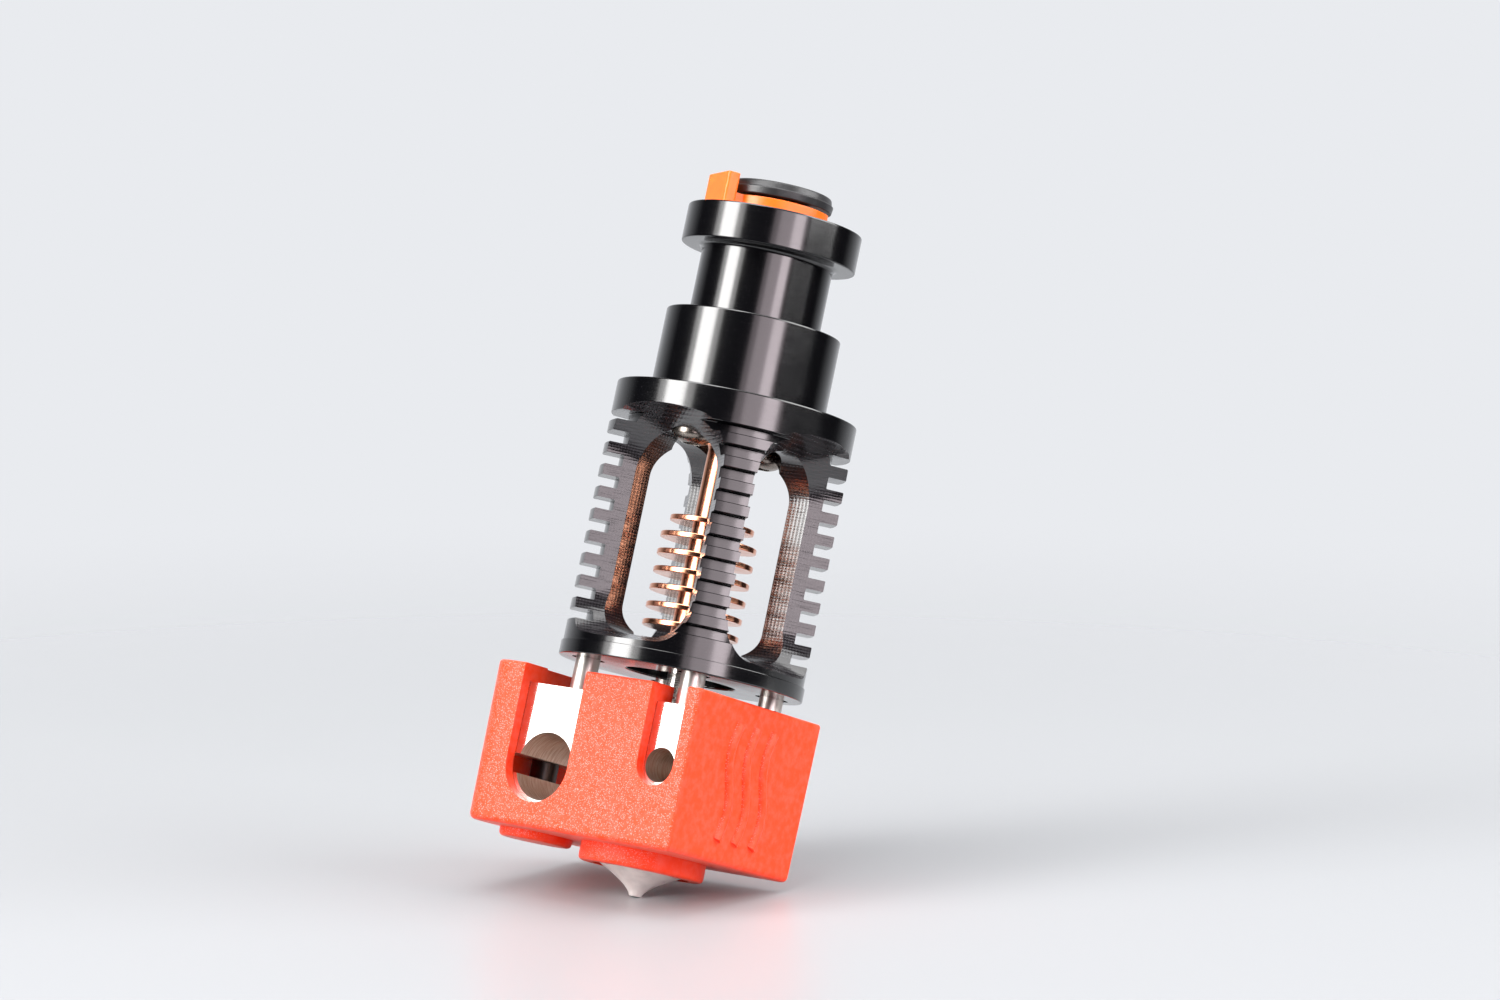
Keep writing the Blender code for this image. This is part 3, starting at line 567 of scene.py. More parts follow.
def rippleTree():
    # upright wavy ribs side by side, which sink away at both ends
    tree, given, result = startTree("heatRipples", {
        "Count": "Int", "Spacing": "Float", "Height": "Float", "Swing": "Float", "Waves": "Float",
        "Rib Radius": "Float", "Finish": "Material"})
    height, spacing = given.outputs["Height"], given.outputs["Spacing"]
    steps = 47
    foot = vector(tree, z=maths(tree, "MULTIPLY", height, -0.5))
    spine = line(tree, steps + 1, foot, vector(tree, z=maths(tree, "DIVIDE", height, float(steps))))
    index = addNode(tree, "GeometryNodeInputIndex").outputs[0]
    turn = maths(tree, "MULTIPLY", index, 2 * math.pi / steps)
    wave = maths(tree, "SINE", maths(tree, "MULTIPLY", turn, given.outputs["Waves"]))
    swing = vector(tree, y=maths(tree, "MULTIPLY", wave, given.outputs["Swing"]))
    bent = addNode(tree, "GeometryNodeSetPosition", {}, {"Geometry": spine, "Offset": swing})
    path = addNode(tree, "GeometryNodeMeshToCurve", {}, {0: bent.outputs[0]})
    along = maths(tree, "MULTIPLY_ADD", index, 2 / steps, -1.0)
    taper = maths(tree, "MAXIMUM", maths(tree, "SUBTRACT", 1.0, maths(tree, "POWER", along, 4.0)), 0.2)
    shaped = addNode(tree, "GeometryNodeSetCurveRadius", {}, {0: path.outputs[0], "Radius": taper})
    ring = addNode(tree, "GeometryNodeCurvePrimitiveCircle", {},
                   {"Resolution": 20, "Radius": given.outputs["Rib Radius"]})
    rib = addNode(tree, "GeometryNodeCurveToMesh", {},
                  {"Curve": shaped.outputs[0], "Profile Curve": ring.outputs[0], "Fill Caps": True})
    begin = vector(tree, y=maths(tree, "MULTIPLY", spacing, -1.0))
    row = line(tree, given.outputs["Count"], begin, vector(tree, y=spacing))
    return endTree(tree, given, result, copies(tree, row, rib.outputs[0]))


def grow(thing, tree, values):
    # runs the tree on the piece and leaves its result as a plain mesh
    step = thing.modifiers.new("grow", "NODES")
    step.node_group = tree
    for item in tree.interface.items_tree:
        if item.in_out == "INPUT" and item.name in values:
            step[item.identifier] = values[item.name]
    applyAll(thing)
    shape = bmesh.new()
    shape.from_mesh(thing.data)
    bmesh.ops.remove_doubles(shape, verts=shape.verts, dist=1e-5)
    bmesh.ops.recalc_face_normals(shape, faces=shape.faces)
    shape.to_mesh(thing.data)
    shape.free()
    return thing


evenRow = rowTree()
fourCorners = cornersTree()
heatRipples = rippleTree()

sinkSizes = {
    "lipTop": 21.2, "ringTop": 23.1, "bandBottom": 42.2, "shoulderBottom": 45.2,
    "grooveBottom": 52.6, "grooveTop": 58.9,
    "bodyRadius": 11.0, "shoulderRadius": 8.0, "grooveRadius": 6.0, "boreRadius": 5.0,
    "filamentBore": 2.1, "edge": 0.16, "fillet": 0.5,
    "teeth": 9, "toothPitch": 2.04, "toothThickness": 1.0, "lowestTooth": 24.55,
    "toothFloor": 9.4, "toothEdge": 0.07, "floorRound": 0.12,
    "windowLow": 21.7, "windowHigh": 43.0, "windowCorner": 3.9, "slotInset": 0.2,
    "slotLow": 22.5, "slotHigh": 41.4, "slotHalf": 4.56, "slotLowCorner": 2.8, "slotTopCorner": 4.2,
    "pillarWidth": 3.1, "overlap": 0.3,
    "postReach": 6.0, "postHole": 1.5, "postTop": 21.6,
    "screwReach": 5.4, "screwSeat": 1.98, "screwHole": 1.0, "seatFace": 41.9, "screwTop": 45.4,
    "seatBore": 4.45, "seatFloor": 55.5, "flangeTop": 43.5,
}


def grooveCutter(name, low, high, sizes):
    # the metal turned away between two teeth, flared at the mouth so that each tooth keeps a fine edge
    floor, outer = sizes["toothFloor"], sizes["bodyRadius"]
    ease, curl = sizes["toothEdge"], sizes["floorRound"]
    mouth, past = outer + 0.01, outer + 1
    loop = softened([(floor, low, curl), (floor, high, curl), (outer - ease, high), (mouth, high + ease),
                     (past, high + ease), (past, low - ease), (mouth, low - ease), (outer - ease, low)])
    return toObject(name, turned(loop, turnSteps), anodised)


def windowCutter(turn, sizes):
    meeting = sizes["slotHalf"] + sizes["pillarWidth"] / math.sqrt(2)
    levels = []
    corner = sizes["windowCorner"]
    near, far = meeting - sizes["overlap"], sizes["bodyRadius"] + 1.5
    reach = (far - near) / (sizes["bodyRadius"] - near)
    inset = sizes["slotInset"]
    lowest, highest = sizes["slotLow"] + inset, sizes["slotHigh"] - inset
    for distance, share in ((near, 0), (far, reach)):
        half = sizes["slotHalf"] + distance - meeting
        bottom = lowest + (sizes["windowLow"] - lowest) * share
        top = highest + (sizes["windowHigh"] - highest) * share
        outline = roundBox(-half, half, bottom, top, corner, corner, 20)
        levels.append([(x, -distance, z) for x, z in outline])
    return toObject(f"window{turn}", moved(stacked(levels), turn=turn), milled)


def slotCutter(turn, sizes):
    half, reach = sizes["slotHalf"], sizes["bodyRadius"] + 1
    outline = roundBox(sizes["slotLow"], sizes["slotHigh"], -half, half, sizes["slotLowCorner"],
                       sizes["slotTopCorner"], 20)
    shape = stacked([[(x, y, z) for z, x in outline] for y in (-reach, reach)])
    return toObject(f"slot{turn}", moved(shape, turn=turn), milled)


def makeHeatSink():
    s = sinkSizes
    low, high = boxOf("heat_sink")
    edge, outer = s["edge"], s["bodyRadius"]
    bottom, top = low.z, high.z
    lipRadius = high.x
    profile = [
        (s["boreRadius"], bottom, edge), (lipRadius, bottom, edge), (lipRadius, s["lipTop"], 0.06),
        (outer, s["lipTop"]), (outer, s["shoulderBottom"], edge),
        (s["shoulderRadius"], s["shoulderBottom"], 0.1), (s["shoulderRadius"], s["grooveBottom"], edge),
        (s["grooveRadius"], s["grooveBottom"], 0.15), (s["grooveRadius"], s["grooveTop"], s["fillet"]),
        (s["shoulderRadius"], s["grooveTop"], edge), (s["shoulderRadius"], top, edge),
        (s["seatBore"], top, 0.12), (s["seatBore"], s["seatFloor"]),
        (s["filamentBore"], s["seatFloor"]), (s["filamentBore"], s["flangeTop"]),
        (s["boreRadius"], s["flangeTop"]),
    ]
    sink = toObject("heat_sink_body", turned(softened(profile, 4), turnSteps), anodised)
    half = s["toothThickness"] / 2
    first = s["lowestTooth"] + half
    gap = s["toothPitch"] - s["toothThickness"]
    ring = grooveCutter("grooveRing", first, first + gap, s)
    grooves = grow(ring, evenRow, {
        "Count": s["teeth"] - 1, "Start": (0, 0, 0), "Step": (0, 0, s["toothPitch"]), "Last Width": 1.0,
        "Finish": anodised})
    lastTooth = s["lowestTooth"] + (s["teeth"] - 1) * s["toothPitch"] + half
    cutters = [slotCutter(0, s), slotCutter(90, s)]
    cutters += [windowCutter(turn, s) for turn in (0, 90, 180, 270)]
    cutters += [grooves, grooveCutter("lowGroove", s["ringTop"], s["lowestTooth"] - half, s),
                grooveCutter("highGroove", lastTooth, s["bandBottom"], s)]
    reach = s["postReach"]
    for x in (-reach, reach):
        for y in (-reach, reach):
            hole = rod(s["postHole"], bottom - 1, s["postTop"], 48)
            cutters.append(toObject("postHole", moved(hole, x, y), anodised))
    for y in (-s["screwReach"], s["screwReach"]):
        seat = rod(s["screwSeat"], s["seatFace"] - 3, s["seatFace"], 48)
        hole = rod(s["screwHole"], s["seatFace"] - 3, s["screwTop"], 32)
        cutters.append(toObject("screwSeat", moved(seat, y=y), anodised))
        cutters.append(toObject("screwHole", moved(hole, y=y), anodised))
    carve(sink, cutters)
    finishPiece(sink, "sink", ["heat_sink"], sharp=24)


makeHeatSink()

breakSizes = {
    "tube": 1.75, "bore": 1.3, "fins": 7, "pitch": 1.62, "thickness": 0.5, "finRadius": 4.4,
    "topFinRadius": 3.85, "lowestFin": 24.3, "flangeRadius": 4.8, "flangeBottom": 42.0,
    "throatBore": 0.95, "throatTop": 30.1, "collar": 1.0, "notch": 1.1, "screwReach": 5.4, "edge": 0.1,
    "finEdge": 0.11, "sunk": 0.1, "notchDepth": 0.7,
}


def makeHeatBreak():
    s = breakSizes
    low, high = boxOf("heat_break")
    face = s["flangeBottom"]
    profile = [(s["bore"], low.z, 0.05), (s["tube"], low.z, 0.12), (s["tube"], face - s["collar"], 0.3),
               (s["tube"] + s["collar"], face, 0.2), (s["flangeRadius"], face, s["edge"]),
               (s["flangeRadius"], high.z, s["edge"]), (s["throatBore"], high.z, 0.05),
               (s["throatBore"], s["throatTop"]), (s["bore"], s["throatTop"])]
    tube = toObject("heat_break_copper", turned(softened(profile, 4), 128), copper)
    inner = s["tube"] - s["sunk"]
    half, ease = s["thickness"] / 2, s["finEdge"]
    fin = [(inner, -half), (s["finRadius"], -half, ease), (s["finRadius"], half, ease), (inner, half)]
    ring = toObject("fin", turned(softened(fin, 4), 128), copper)
    fins = grow(ring, evenRow, {
        "Count": s["fins"], "Start": (0, 0, s["lowestFin"]), "Step": (0, 0, s["pitch"]),
        "Last Width": s["topFinRadius"] / s["finRadius"], "Finish": copper})
    carve(tube, [fins], "UNION")
    notches = []
    for y in (-s["screwReach"], s["screwReach"]):
        notch = rod(s["notch"], face - s["notchDepth"], high.z + 1, 48)
        notches.append(toObject("notch", moved(notch, y=y), copper))
    carve(tube, notches)
    finishPiece(tube, "sink", ["heat_break"], sharp=28)


makeHeatBreak()


# the first three are shares: the straight rim and the socket's depth of the head's height, the socket's
# reach of its radius
buttonSizes = {"rim": 0.35, "socketDepth": 0.4, "socket": 0.48}
clampSizes = {"head": 1.88, "shank": 0.9, "height": 1.5, "length": 3.5, "face": 41.8, "edge": 0.04}
squeezeSizes = {"head": 2.0, "shank": 1.25, "height": 1.596, "length": 8.0, "edge": 0.04}
grubSizes = {"socket": 0.85, "socketDepth": 1.6, "point": 0.2, "end": 0.3, "edge": 0.03}


def buttonScrew(name, face, sizes, finish):
    shares = buttonSizes
    head, shank, tip = sizes["head"], sizes["shank"], face + sizes["length"]
    tall, crown = sizes["height"], sizes["height"] * shares["rim"]
    dome = [(head * math.cos(a), face - crown - (tall - crown) * math.sin(a))
            for a in (math.radians(step * 6) for step in range(1, 14))]
    profile = [(0, tip), (shank, tip, 0.2), (shank, face), (head, face, 0.05), (head, face - crown),
               *dome, (0, dome[-1][1])]
    screw = toObject(name, turned(softened(profile), 64), finish)
    hexagon = arc(0, 0, head * shares["socket"], 0, 300, 5)
    socket = prism(hexagon, face - tall - 1, face - tall * shares["socketDepth"])
    return carve(screw, [toObject("socket", socket, finish)])


def makeClampScrews():
    s = clampSizes
    reach = abs(middleOf("clamp_screw_front").y)
    screw = buttonScrew("clamp_screws", s["face"], s, screwSteel)
    pair = grow(screw, evenRow, {
        "Count": 2, "Start": (0, -reach, 0), "Step": (0, 2 * reach, 0), "Last Width": 1.0,
        "Finish": screwSteel})
    nodes = ["clamp_screw_front", "clamp_screw_rear"]
    finishPiece(pair, "sink", nodes, edge=s["edge"])


def makeSqueezeScrew():
    s = squeezeSizes
    spot = middleOf("heater_clamp_screw")
    low, high = boxOf("heater_clamp_screw")
    screw = buttonScrew("heater_clamp_screw_black", high.z - s["length"], s, blackSteel)
    screw.data.transform(Matrix.Translation((spot.x, spot.y, 0)))
    finishPiece(screw, "sink", ["heater_clamp_screw"], edge=s["edge"])


def makeGrubScrew():
    s = grubSizes
    low, high = boxOf("sensor_grub_screw")
    spot = middleOf("sensor_grub_screw")
    radius = (high.x - low.x) / 2
    profile = [(0, low.z), (radius, low.z, s["point"]), (radius, high.z, s["end"]), (0, high.z)]
    screw = toObject("sensor_grub_screw_black", turned(softened(profile), 64), blackSteel)
    socket = prism(arc(0, 0, s["socket"], 0, 300, 5), low.z - 1, low.z + s["socketDepth"])
    carve(screw, [toObject("socket", socket, blackSteel)])
    screw.data.transform(Matrix.Translation((spot.x, spot.y, 0)))
    finishPiece(screw, "sink", ["sensor_grub_screw"], edge=s["edge"])


makeClampScrews()
makeSqueezeScrew()
makeGrubScrew()

postSizes = {"bore": 0.5, "edge": 0.12}


def makePosts():
    s = postSizes
    low, high = boxOf("standoff_post_front_left")
    left, right = middleOf("standoff_post_front_left"), middleOf("standoff_post_rear_right")
    radius = (high.x - low.x) / 2
    profile = [(s["bore"], low.z, 0.05), (radius, low.z, s["edge"]), (radius, high.z, s["edge"]),
               (s["bore"], high.z, 0.05)]
    post = toObject("standoff_posts", turned(softened(profile), 64), postSteel)
    posts = grow(post, fourCorners, {
        "Width": right.x - left.x, "Depth": right.y - left.y, "Finish": postSteel})
    nodes = [f"standoff_post_{a}_{b}" for a in ("front", "rear") for b in ("left", "right")]
    finishPiece(posts, "sink", nodes)


makePosts()

blockSizes = {
    "heaterX": -6.66, "heaterZ": 9.6, "heaterRadius": 3.08, "sensorX": 6.03, "sensorZ": 11.35,
    "sensorRadius": 1.57, "slitCentre": 9.53, "slitHeight": 1.76, "thread": 3.0,
    "squeezeHole": 1.35, "squeezeTop": 14.6, "counterbore": 2.1, "counterTop": 6.2, "grubHole": 1.6,
    "postHole": 1.15,
    "postFloor": 13.4, "edge": 0.14, "corner": 0.3,
}


def makeHeaterBlock():
    s = blockSizes
    low, high = boxOf("heater_block")
    corner = s["corner"]
    outline = roundBox(low.x, high.x, low.y, high.y, corner, corner, 4)
    block = toObject("heater_block_nickel", prism(outline, low.z, high.z), nickel)
    reach = high.y + 1
    below, above = low.z - 1, high.z + 1
    slitLow = s["slitCentre"] - s["slitHeight"] / 2
    slit = [(low.x - 1, -reach), (s["heaterX"], -reach), (s["heaterX"], reach), (low.x - 1, reach)]
    spot, grub = middleOf("heater_clamp_screw"), middleOf("sensor_grub_screw")
    heater = rod(s["heaterRadius"], -reach, reach, 128)
    sensor = rod(s["sensorRadius"], -reach, reach, 96)
    shapes = [
        prism(slit, slitLow, slitLow + s["slitHeight"]),
        moved(heater, s["heaterX"], 0, s["heaterZ"], 90, "X"),
        moved(sensor, s["sensorX"], 0, s["sensorZ"], 90, "X"),
        rod(s["thread"], below, above, 64),
        moved(rod(s["squeezeHole"], below, s["squeezeTop"], 48), spot.x, spot.y),
        moved(rod(s["counterbore"], below, s["counterTop"], 48), spot.x, spot.y),
        moved(rod(s["grubHole"], below, s["sensorZ"], 48), grub.x, grub.y),
    ]
    for name in ("front_left", "front_right", "rear_left", "rear_right"):
        post = middleOf("standoff_post_" + name)
        shapes.append(moved(rod(s["postHole"], s["postFloor"], above, 48), post.x, post.y))
    carve(block, [toObject("blockCutter", shape, bored) for shape in shapes])
    finishPiece(block, "sink", ["heater_block"], edge=s["edge"], segments=3)


makeHeaterBlock()

nozzleSizes = {
    "tip": 0.55, "orifice": 0.2, "orificeTop": 0.6, "cone": 3.45, "coneTop": 2.2, "hollow": 0.64,
    "flats": 7.0, "hexTop": 5.25, "hexStep": 0.35, "hexTurn": 7.5, "thread": 2.9, "relief": 0.4,
    "bore": 0.95, "boreLow": 1.6,
}


def makeNozzle():
    s = nozzleSizes
    low, high = boxOf("nozzle")
    sweep = 24
    profile = [(s["orifice"], low.z), (s["tip"], low.z, 0.05)]
    for step in range(1, sweep + 1):
        share = step / sweep
        profile.append((s["tip"] + (s["cone"] - s["tip"]) * share, s["coneTop"] * share ** s["hollow"]))
    corner, top = s["flats"] / math.sqrt(3), s["hexTop"]
    neck = s["thread"] - s["relief"]
    profile += [(corner, s["coneTop"] + s["hexStep"]), (corner, top), (neck, top), (neck, top + 0.6),
                (s["thread"], top + 1), (s["thread"], high.z, 0.1), (s["bore"], high.z),
                (s["bore"], s["boreLow"]), (s["orifice"], s["orificeTop"])]
    nozzle = toObject("nozzle_steel", turned(softened(profile), 96), hardened)
    flat, reach = s["flats"] / 2, 4
    outline = [(flat, -reach), (flat + 3, -reach), (flat + 3, reach), (flat, reach)]
    sides = []
    for side in range(6):
        shape = moved(prism(outline, s["coneTop"] - 0.5, top + 1), turn=side * 60 + s["hexTurn"])
        sides.append(toObject("side", shape, hardened))
    carve(nozzle, sides)
    finishPiece(nozzle, "nozzle", ["nozzle"], sharp=28)


makeNozzle()

sockSizes = {
    "flare": 0.09, "bottomRound": 0.55, "topRound": 0.28, "leftCorner": 2.6, "rightCorner": 0.42,
    "floor": 3.95, "wallGap": 0.03, "lip": 2.1, "sideLip": 1.3,
    "heaterCentre": -6.7, "heaterHalf": 3.5, "heaterLow": 9.7,
    "sensorCentre": 6.3, "sensorHalf": 2.0, "sensorLow": 11.4,
    "skirt": 5.7, "skirtBore": 4.45, "skirtRound": 0.5, "bossX": -10.9, "boss": 3.35, "bossBottom": 3.15,
    "bossPocket": 2.4, "pocketCorner": 0.3, "mouthCorner": 0.8, "overlap": 0.9, "edge": 0.16,
}
markSizes = {
    "count": 3, "spacing": 2.6, "height": 10.4, "swing": 0.62, "waves": 1.0, "rib": 0.64, "sunk": 0.3,
}


def rounding(radius, angles):
    # how far a quarter round stands in from the wall and off its end, at each angle
    turns = [math.radians(angle) for angle in angles]
    return [(radius * (1 - math.sin(a)), radius * (1 - math.cos(a))) for a in turns]


def sockLevels(s, low, high):
    # outlines from the floor up: the rounded foot, the walls flaring outward, the rounded rim
    floor, top = s["floor"], high.z
    span = top - floor
    heights = [(floor + rise, inset) for inset, rise in rounding(s["bottomRound"], range(0, 91, 15))]
    heights += [(floor + span * share, 0.0) for share in (0.25, 0.5, 0.75)]
    heights += [(top - drop, inset) for drop, inset in rounding(s["topRound"], range(0, 91, 15))]
    levels = []
    for height, inset in heights:
        out = s["flare"] * (2 * (height - floor) / span - 1) - inset
        outline = roundBox(low.x - out, high.x + out, low.y - out, high.y + out,
                           max(s["leftCorner"] + out, 0.1), max(s["rightCorner"] + out, 0.06), 14)
        levels.append([(x, y, height) for x, y in outline])
    return levels


def makeSock():
    s = sockSizes
    low, high = boxOf("silicone_sock")
    floor, top, curve = s["floor"], high.z, s["skirtRound"]
    sock = toObject("silicone_sock_red", stacked(sockLevels(s, low, high)), silicone)
    joint = floor + s["overlap"]
    skirt = [(0, low.z), (s["skirt"], low.z, curve), (s["skirt"], joint), (0, joint)]
    boss = [(0, s["bossBottom"]), (s["boss"], s["bossBottom"], curve), (s["boss"], joint), (0, joint)]
    spot = middleOf("heater_clamp_screw")
    skirtPiece = toObject("skirt", turned(softened(skirt, 5), 128), silicone)
    bossPiece = toObject("boss", moved(turned(softened(boss, 5), 96), s["bossX"], spot.y), silicone)
    carve(sock, [skirtPiece, bossPiece], "UNION")
    blockLow, blockHigh = boxOf("heater_block")
    gap = s["wallGap"]
    left, right, deep = blockLow.x - gap, blockHigh.x + gap, blockHigh.y + gap
    corner, mouthCorner = s["pocketCorner"], s["mouthCorner"]
    pocket = roundBox(left, right, blockLow.y - gap, deep, corner, corner, 4)
    mouth = roundBox(left + s["lip"], right - s["sideLip"], s["lip"] - deep, deep - s["lip"],
                     mouthCorner, mouthCorner, 8)
    bossPocket = rod(s["bossPocket"], s["bossBottom"] + 1, blockLow.z + 2, 64)
    shapes = [prism(pocket, blockLow.z - gap, blockHigh.z + gap), prism(mouth, blockHigh.z - 2, top + 1),
              rod(s["skirtBore"], low.z - 1, blockLow.z + 2, 128), moved(bossPocket, spot.x, spot.y)]
    reach = high.y + 1
    for name in ("heater", "sensor"):
        centre, half, bottom = s[name + "Centre"], s[name + "Half"], s[name + "Low"]
        foot = arc(centre, bottom, half, 0, -180, 48)
        outline = [(centre + half, top + 1), *foot, (centre - half, top + 1)]
        shapes.append(stacked([[(x, y, z) for x, z in outline] for y in (-reach, reach)]))
    carve(sock, [toObject("sockCutter", shape, silicone) for shape in shapes])
    m = markSizes
    seed = toObject("mark", rod(0.1, 0, 0.1, 8), silicone)
    mark = grow(seed, heatRipples, {
        "Count": m["count"], "Spacing": m["spacing"], "Height": m["height"], "Swing": m["swing"],
        "Waves": m["waves"], "Rib Radius": m["rib"], "Finish": silicone})
    lean = Matrix.Rotation(math.atan(2 * s["flare"] / (top - floor)), 4, "Y")
    mark.data.transform(Matrix.Translation((high.x - m["sunk"], 0, (floor + top) / 2)) @ lean)
    carve(sock, [mark], "UNION")
    finishPiece(sock, "sink", ["silicone_sock"], edge=s["edge"], segments=4, sharp=24)


makeSock()

colletSizes = {
    "radius": 2.8, "bore": 2.05, "rimBottom": 63.85, "slot": 0.8, "slotTop": 61.5, "foot": 3.1,
    "footTop": 0.9, "taperTop": 2.2, "toothHalf": 0.45, "toothFrom": 1.5, "toothTo": 3.4,
    "toothLow": 0.35, "toothHigh": 0.85,
}


def makeCollet():
    s = colletSizes
    low, high = boxOf("collet")
    rim, bottom, top = high.x, low.z, high.z
    middle = (s["rimBottom"] + top) / 2
    profile = [(s["bore"], bottom, 0.1), (s["foot"], bottom, 0.15), (s["foot"], bottom + s["footTop"]),
               (s["radius"], bottom + s["taperTop"]), (s["radius"], s["rimBottom"], 0.1),
               (rim - 0.1, s["rimBottom"], 0.1), (rim, middle, 0.08), (rim - 0.15, middle + 0.05, 0.04),
               (rim - 0.3, top, 0.2), (s["bore"] + 0.5, top, 0.1), (s["bore"], top - 0.5, 0.1)]
    collet = toObject("collet_black", turned(softened(profile, 4), 128), blackPlastic)
    half, reach = s["slot"] / 2, 5
    outline = [(-half, -reach), (half, -reach), (half, reach), (-half, reach)]
    cutters = []
    for turn in (0, 90):
        shape = moved(prism(outline, bottom - 1, s["slotTop"]), turn=turn)
        cutters.append(toObject("fingerSlot", shape, blackPlastic))
    wide, near, far = s["toothHalf"], s["toothFrom"], s["toothTo"]
    pocket = [(-wide, -far), (wide, -far), (wide, -near), (-wide, -near)]
    for turn in (45, 135, 225, 315):
        shape = moved(prism(pocket, bottom + s["toothLow"], bottom + s["toothHigh"]), turn=turn)
        cutters.append(toObject("toothPocket", shape, blackPlastic))
    carve(collet, cutters)
    finishPiece(collet, "collet", ["collet"], sharp=30)


clipSizes = {"radius": 4.75, "bore": 2.95, "mouth": 5.75, "turn": -31.5, "reach": 6.3, "thickness": 1.2,
             "width": 5.0, "bandTop": 63.6, "tabCorner": 0.3, "webHalf": 2.0, "webFrom": 3.6, "edge": 0.16}


def makeClip():
    s = clipSizes
    low, high = boxOf("collet_clip")
    outer = math.degrees(math.asin(s["mouth"] / 2 / s["radius"]))
    inner = math.degrees(math.asin(s["mouth"] / 2 / s["bore"]))
    ring = arc(0, 0, s["radius"], 90 + outer, 450 - outer, 120)
    ring += arc(0, 0, s["bore"], 450 - inner, 90 + inner, 80)
    half, reach, corner = s["width"] / 2, s["reach"], s["tabCorner"]
    tab = roundBox(-half, half, -reach, -reach + s["thickness"], corner, corner, 6)
    web = [(-half + 0.4, -reach + 0.6), (half - 0.4, -reach + 0.6),
           (s["webHalf"], -s["webFrom"]), (-s["webHalf"], -s["webFrom"])]
    clip = toObject("collet_clip_orange", prism(ring, low.z, s["bandTop"]), orangePlastic)
    carve(clip, [toObject("tab", prism(tab, low.z, high.z), orangePlastic),
                 toObject("web", prism(web, low.z, s["bandTop"]), orangePlastic)], "UNION")
    clip.data.transform(Matrix.Rotation(math.radians(s["turn"]), 4, "Z"))
    finishPiece(clip, "clip", ["collet_clip"], edge=s["edge"], segments=3)


makeCollet()
makeClip()


def dress(node, finish):
    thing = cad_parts[node]
    thing.data.materials.clear()
    thing.data.materials.append(finish)
    weld = thing.modifiers.new("weld", "WELD")
    weld.merge_threshold = 0.002 * unit


for node in ("collet_tooth_front_left", "collet_tooth_front_right", "collet_tooth_rear_left",
             "collet_tooth_rear_right"):
    dress(node, springSteel)
dress("collet_seat", brass)
dress("heat_break_throat", throatSteel)

# fitted; the azimuth is in degrees, the other angles in radians
viewSizes = {"azimuth": 37.5, "distance": 504.70, "height": -18.352, "yaw": 0.005681, "pitch": 0.109245,
             "roll": 0.204882, "lens": 135.289}


def makeCamera():
    v = viewSizes
    facing = Matrix.Rotation(math.radians(v["azimuth"]), 3, "Z")
    yaw, pitch, roll = v["yaw"], v["pitch"], v["roll"]
    ahead = Vector((math.sin(yaw) * math.cos(pitch), math.cos(yaw) * math.cos(pitch), math.sin(pitch)))
    side = Vector((math.cos(yaw), -math.sin(yaw), 0))
    rise = side.cross(ahead)
    right = facing @ (side * math.cos(roll) + rise * math.sin(roll))
    up = facing @ (rise * math.cos(roll) - side * math.sin(roll))
    back = -(facing @ ahead)
    turn = Matrix((right, up, back)).transposed().to_4x4()
    data = bpy.data.cameras.new("camera")
    data.lens = v["lens"]
    data.sensor_width = 36
    data.clip_start = 0.01
    data.clip_end = 20
    camera = bpy.data.objects.new("camera", data)
    spot = facing @ Vector((0, -v["distance"] * unit, v["height"] * unit))
    camera.matrix_world = Matrix.Translation(spot) @ turn
    bpy.context.scene.collection.objects.link(camera)
    bpy.context.scene.camera = camera
    return up, -back


cameraUp, cameraAhead = makeCamera()

# metres, apart from the angle between the floor and the line of sight
studioSizes = {"look": 8.0, "floorRadius": 0.40, "sunk": 0.00005, "fadeFrom": 0.06, "fadeTo": 0.24}


def makeFloor():
    s = studioSizes
    tilt = math.radians(s["look"])
    normal = (cameraUp * math.cos(tilt) - cameraAhead * math.sin(tilt)).normalized()
    shape = bmesh.new()
    bmesh.ops.create_circle(shape, cap_ends=True, segments=96, radius=s["floorRadius"])
    turn = Vector((0, 0, 1)).rotation_difference(normal).to_matrix().to_4x4()
    bmesh.ops.transform(shape, matrix=Matrix.Translation(normal * -s["sunk"]) @ turn, verts=shape.verts)
    paint = Paint("paleFloor", (0.31, 0.318, 0.33), Roughness=0.40, IOR=1.38)
    seen = paint.node("ShaderNodeTexCoord").out("Object")
    reach = paint.node("ShaderNodeVectorMath", {"operation": "LENGTH"}, {0: seen}).out("Value")
    clear = paint.node("ShaderNodeBsdfTransparent").out()
    solid = Signal(paint, paint.shader.outputs[0])
    # far out it turns clear, so that the world's colour takes over without an edge
    fade = reach.between(s["fadeFrom"], s["fadeTo"])
    mixed = paint.node("ShaderNodeMixShader", {}, {0: fade, 1: solid, 2: clear})
    paint.send(mixed.out(), "Material Output", "Surface")
    floor = toObject("floor", shape, paint.material)


makeFloor()


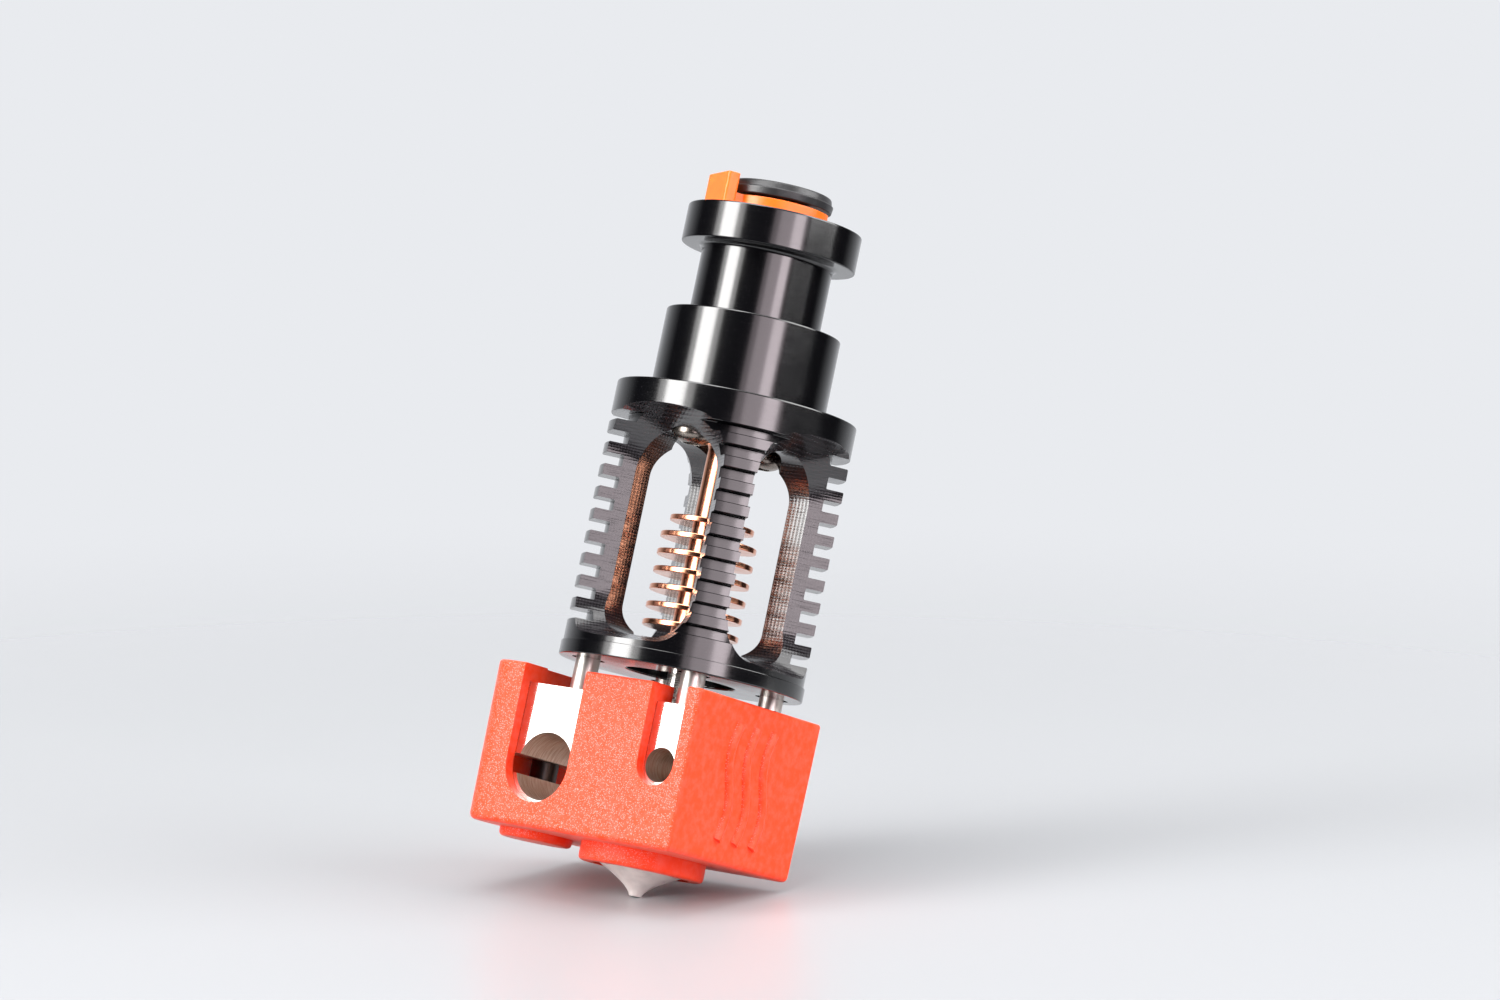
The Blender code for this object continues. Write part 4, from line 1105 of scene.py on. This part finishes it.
# name, azimuth, elevation, distance, width and height in metres, power, colour
softboxes = [
    ("keyCore", -24, 7, 0.60, 0.22, 0.42, 3.5, (1.0, 0.99, 0.98)),
    ("keyHalo", -24, 9, 0.63, 0.44, 0.50, 2.4, (1.0, 0.99, 0.98)),
    ("fillCore", 69, 7, 0.60, 0.15, 0.22, 0.46, (1.0, 0.88, 0.93)),
    ("fillMiddle", 60, 7, 0.61, 0.36, 0.22, 0.48, (1.0, 0.88, 0.93)),
    ("fillHalo", 58, 7, 0.62, 0.50, 0.22, 0.56, (1.0, 0.87, 0.92)),
    ("frontHigh", -5, 45, 0.60, 0.40, 0.40, 3.2, (1.0, 1.0, 1.0)),
    ("sideHigh", 104, 34, 0.60, 0.45, 0.45, 4.4, (1.0, 1.0, 1.0)),
    ("topBox", 60, 80, 0.80, 0.90, 0.90, 7.5, (1.0, 1.0, 1.0)),
]
aim = Vector((0, 0, 0.03))


def softbox(name, azimuth, elevation, distance, width, height, power, color):
    a, e = math.radians(azimuth), math.radians(elevation)
    toward = Vector((math.sin(a) * math.cos(e), -math.cos(a) * math.cos(e), math.sin(e)))
    data = bpy.data.lights.new(name, "AREA")
    data.shape = "RECTANGLE"
    data.size, data.size_y = width, height
    data.energy = power
    data.color = color
    light = bpy.data.objects.new(name, data)
    light.matrix_world = (Matrix.Translation(toward * distance + aim)
                          @ toward.to_track_quat("Z", "Y").to_matrix().to_4x4())
    bpy.context.scene.collection.objects.link(light)


for box in softboxes:
    softbox(*box)


worldLook = {
    "stops": [(0.70, (0.008, 0.008, 0.009)), (0.95, (0.80, 0.815, 0.85))],
    "backdrop": (0.815, 0.831, 0.863),
}


def makeWorld():
    # reflections see a sky that is bright only ahead of the camera, the camera sees an even backdrop
    world = bpy.data.worlds.new("studio")
    bpy.context.scene.world = world
    world.use_nodes = True
    sky = ShaderTree(world.node_tree)
    seen = sky.node("ShaderNodeTexCoord").out("Generated")
    ahead = sky.node("ShaderNodeVectorMath", {"operation": "DOT_PRODUCT"},
                     {0: seen, 1: tuple(cameraAhead)}).out("Value")
    ramp = sky.node("ShaderNodeValToRGB", {"stops": worldLook["stops"]}, {0: ahead * 0.5 + 0.5}).out()
    direct = sky.node("ShaderNodeLightPath").out("Is Camera Ray")
    sky.send(sky.blend(direct, ramp, worldLook["backdrop"]), "Background", "Color")


makeWorld()
bpy.context.scene.view_settings.view_transform = "Standard"
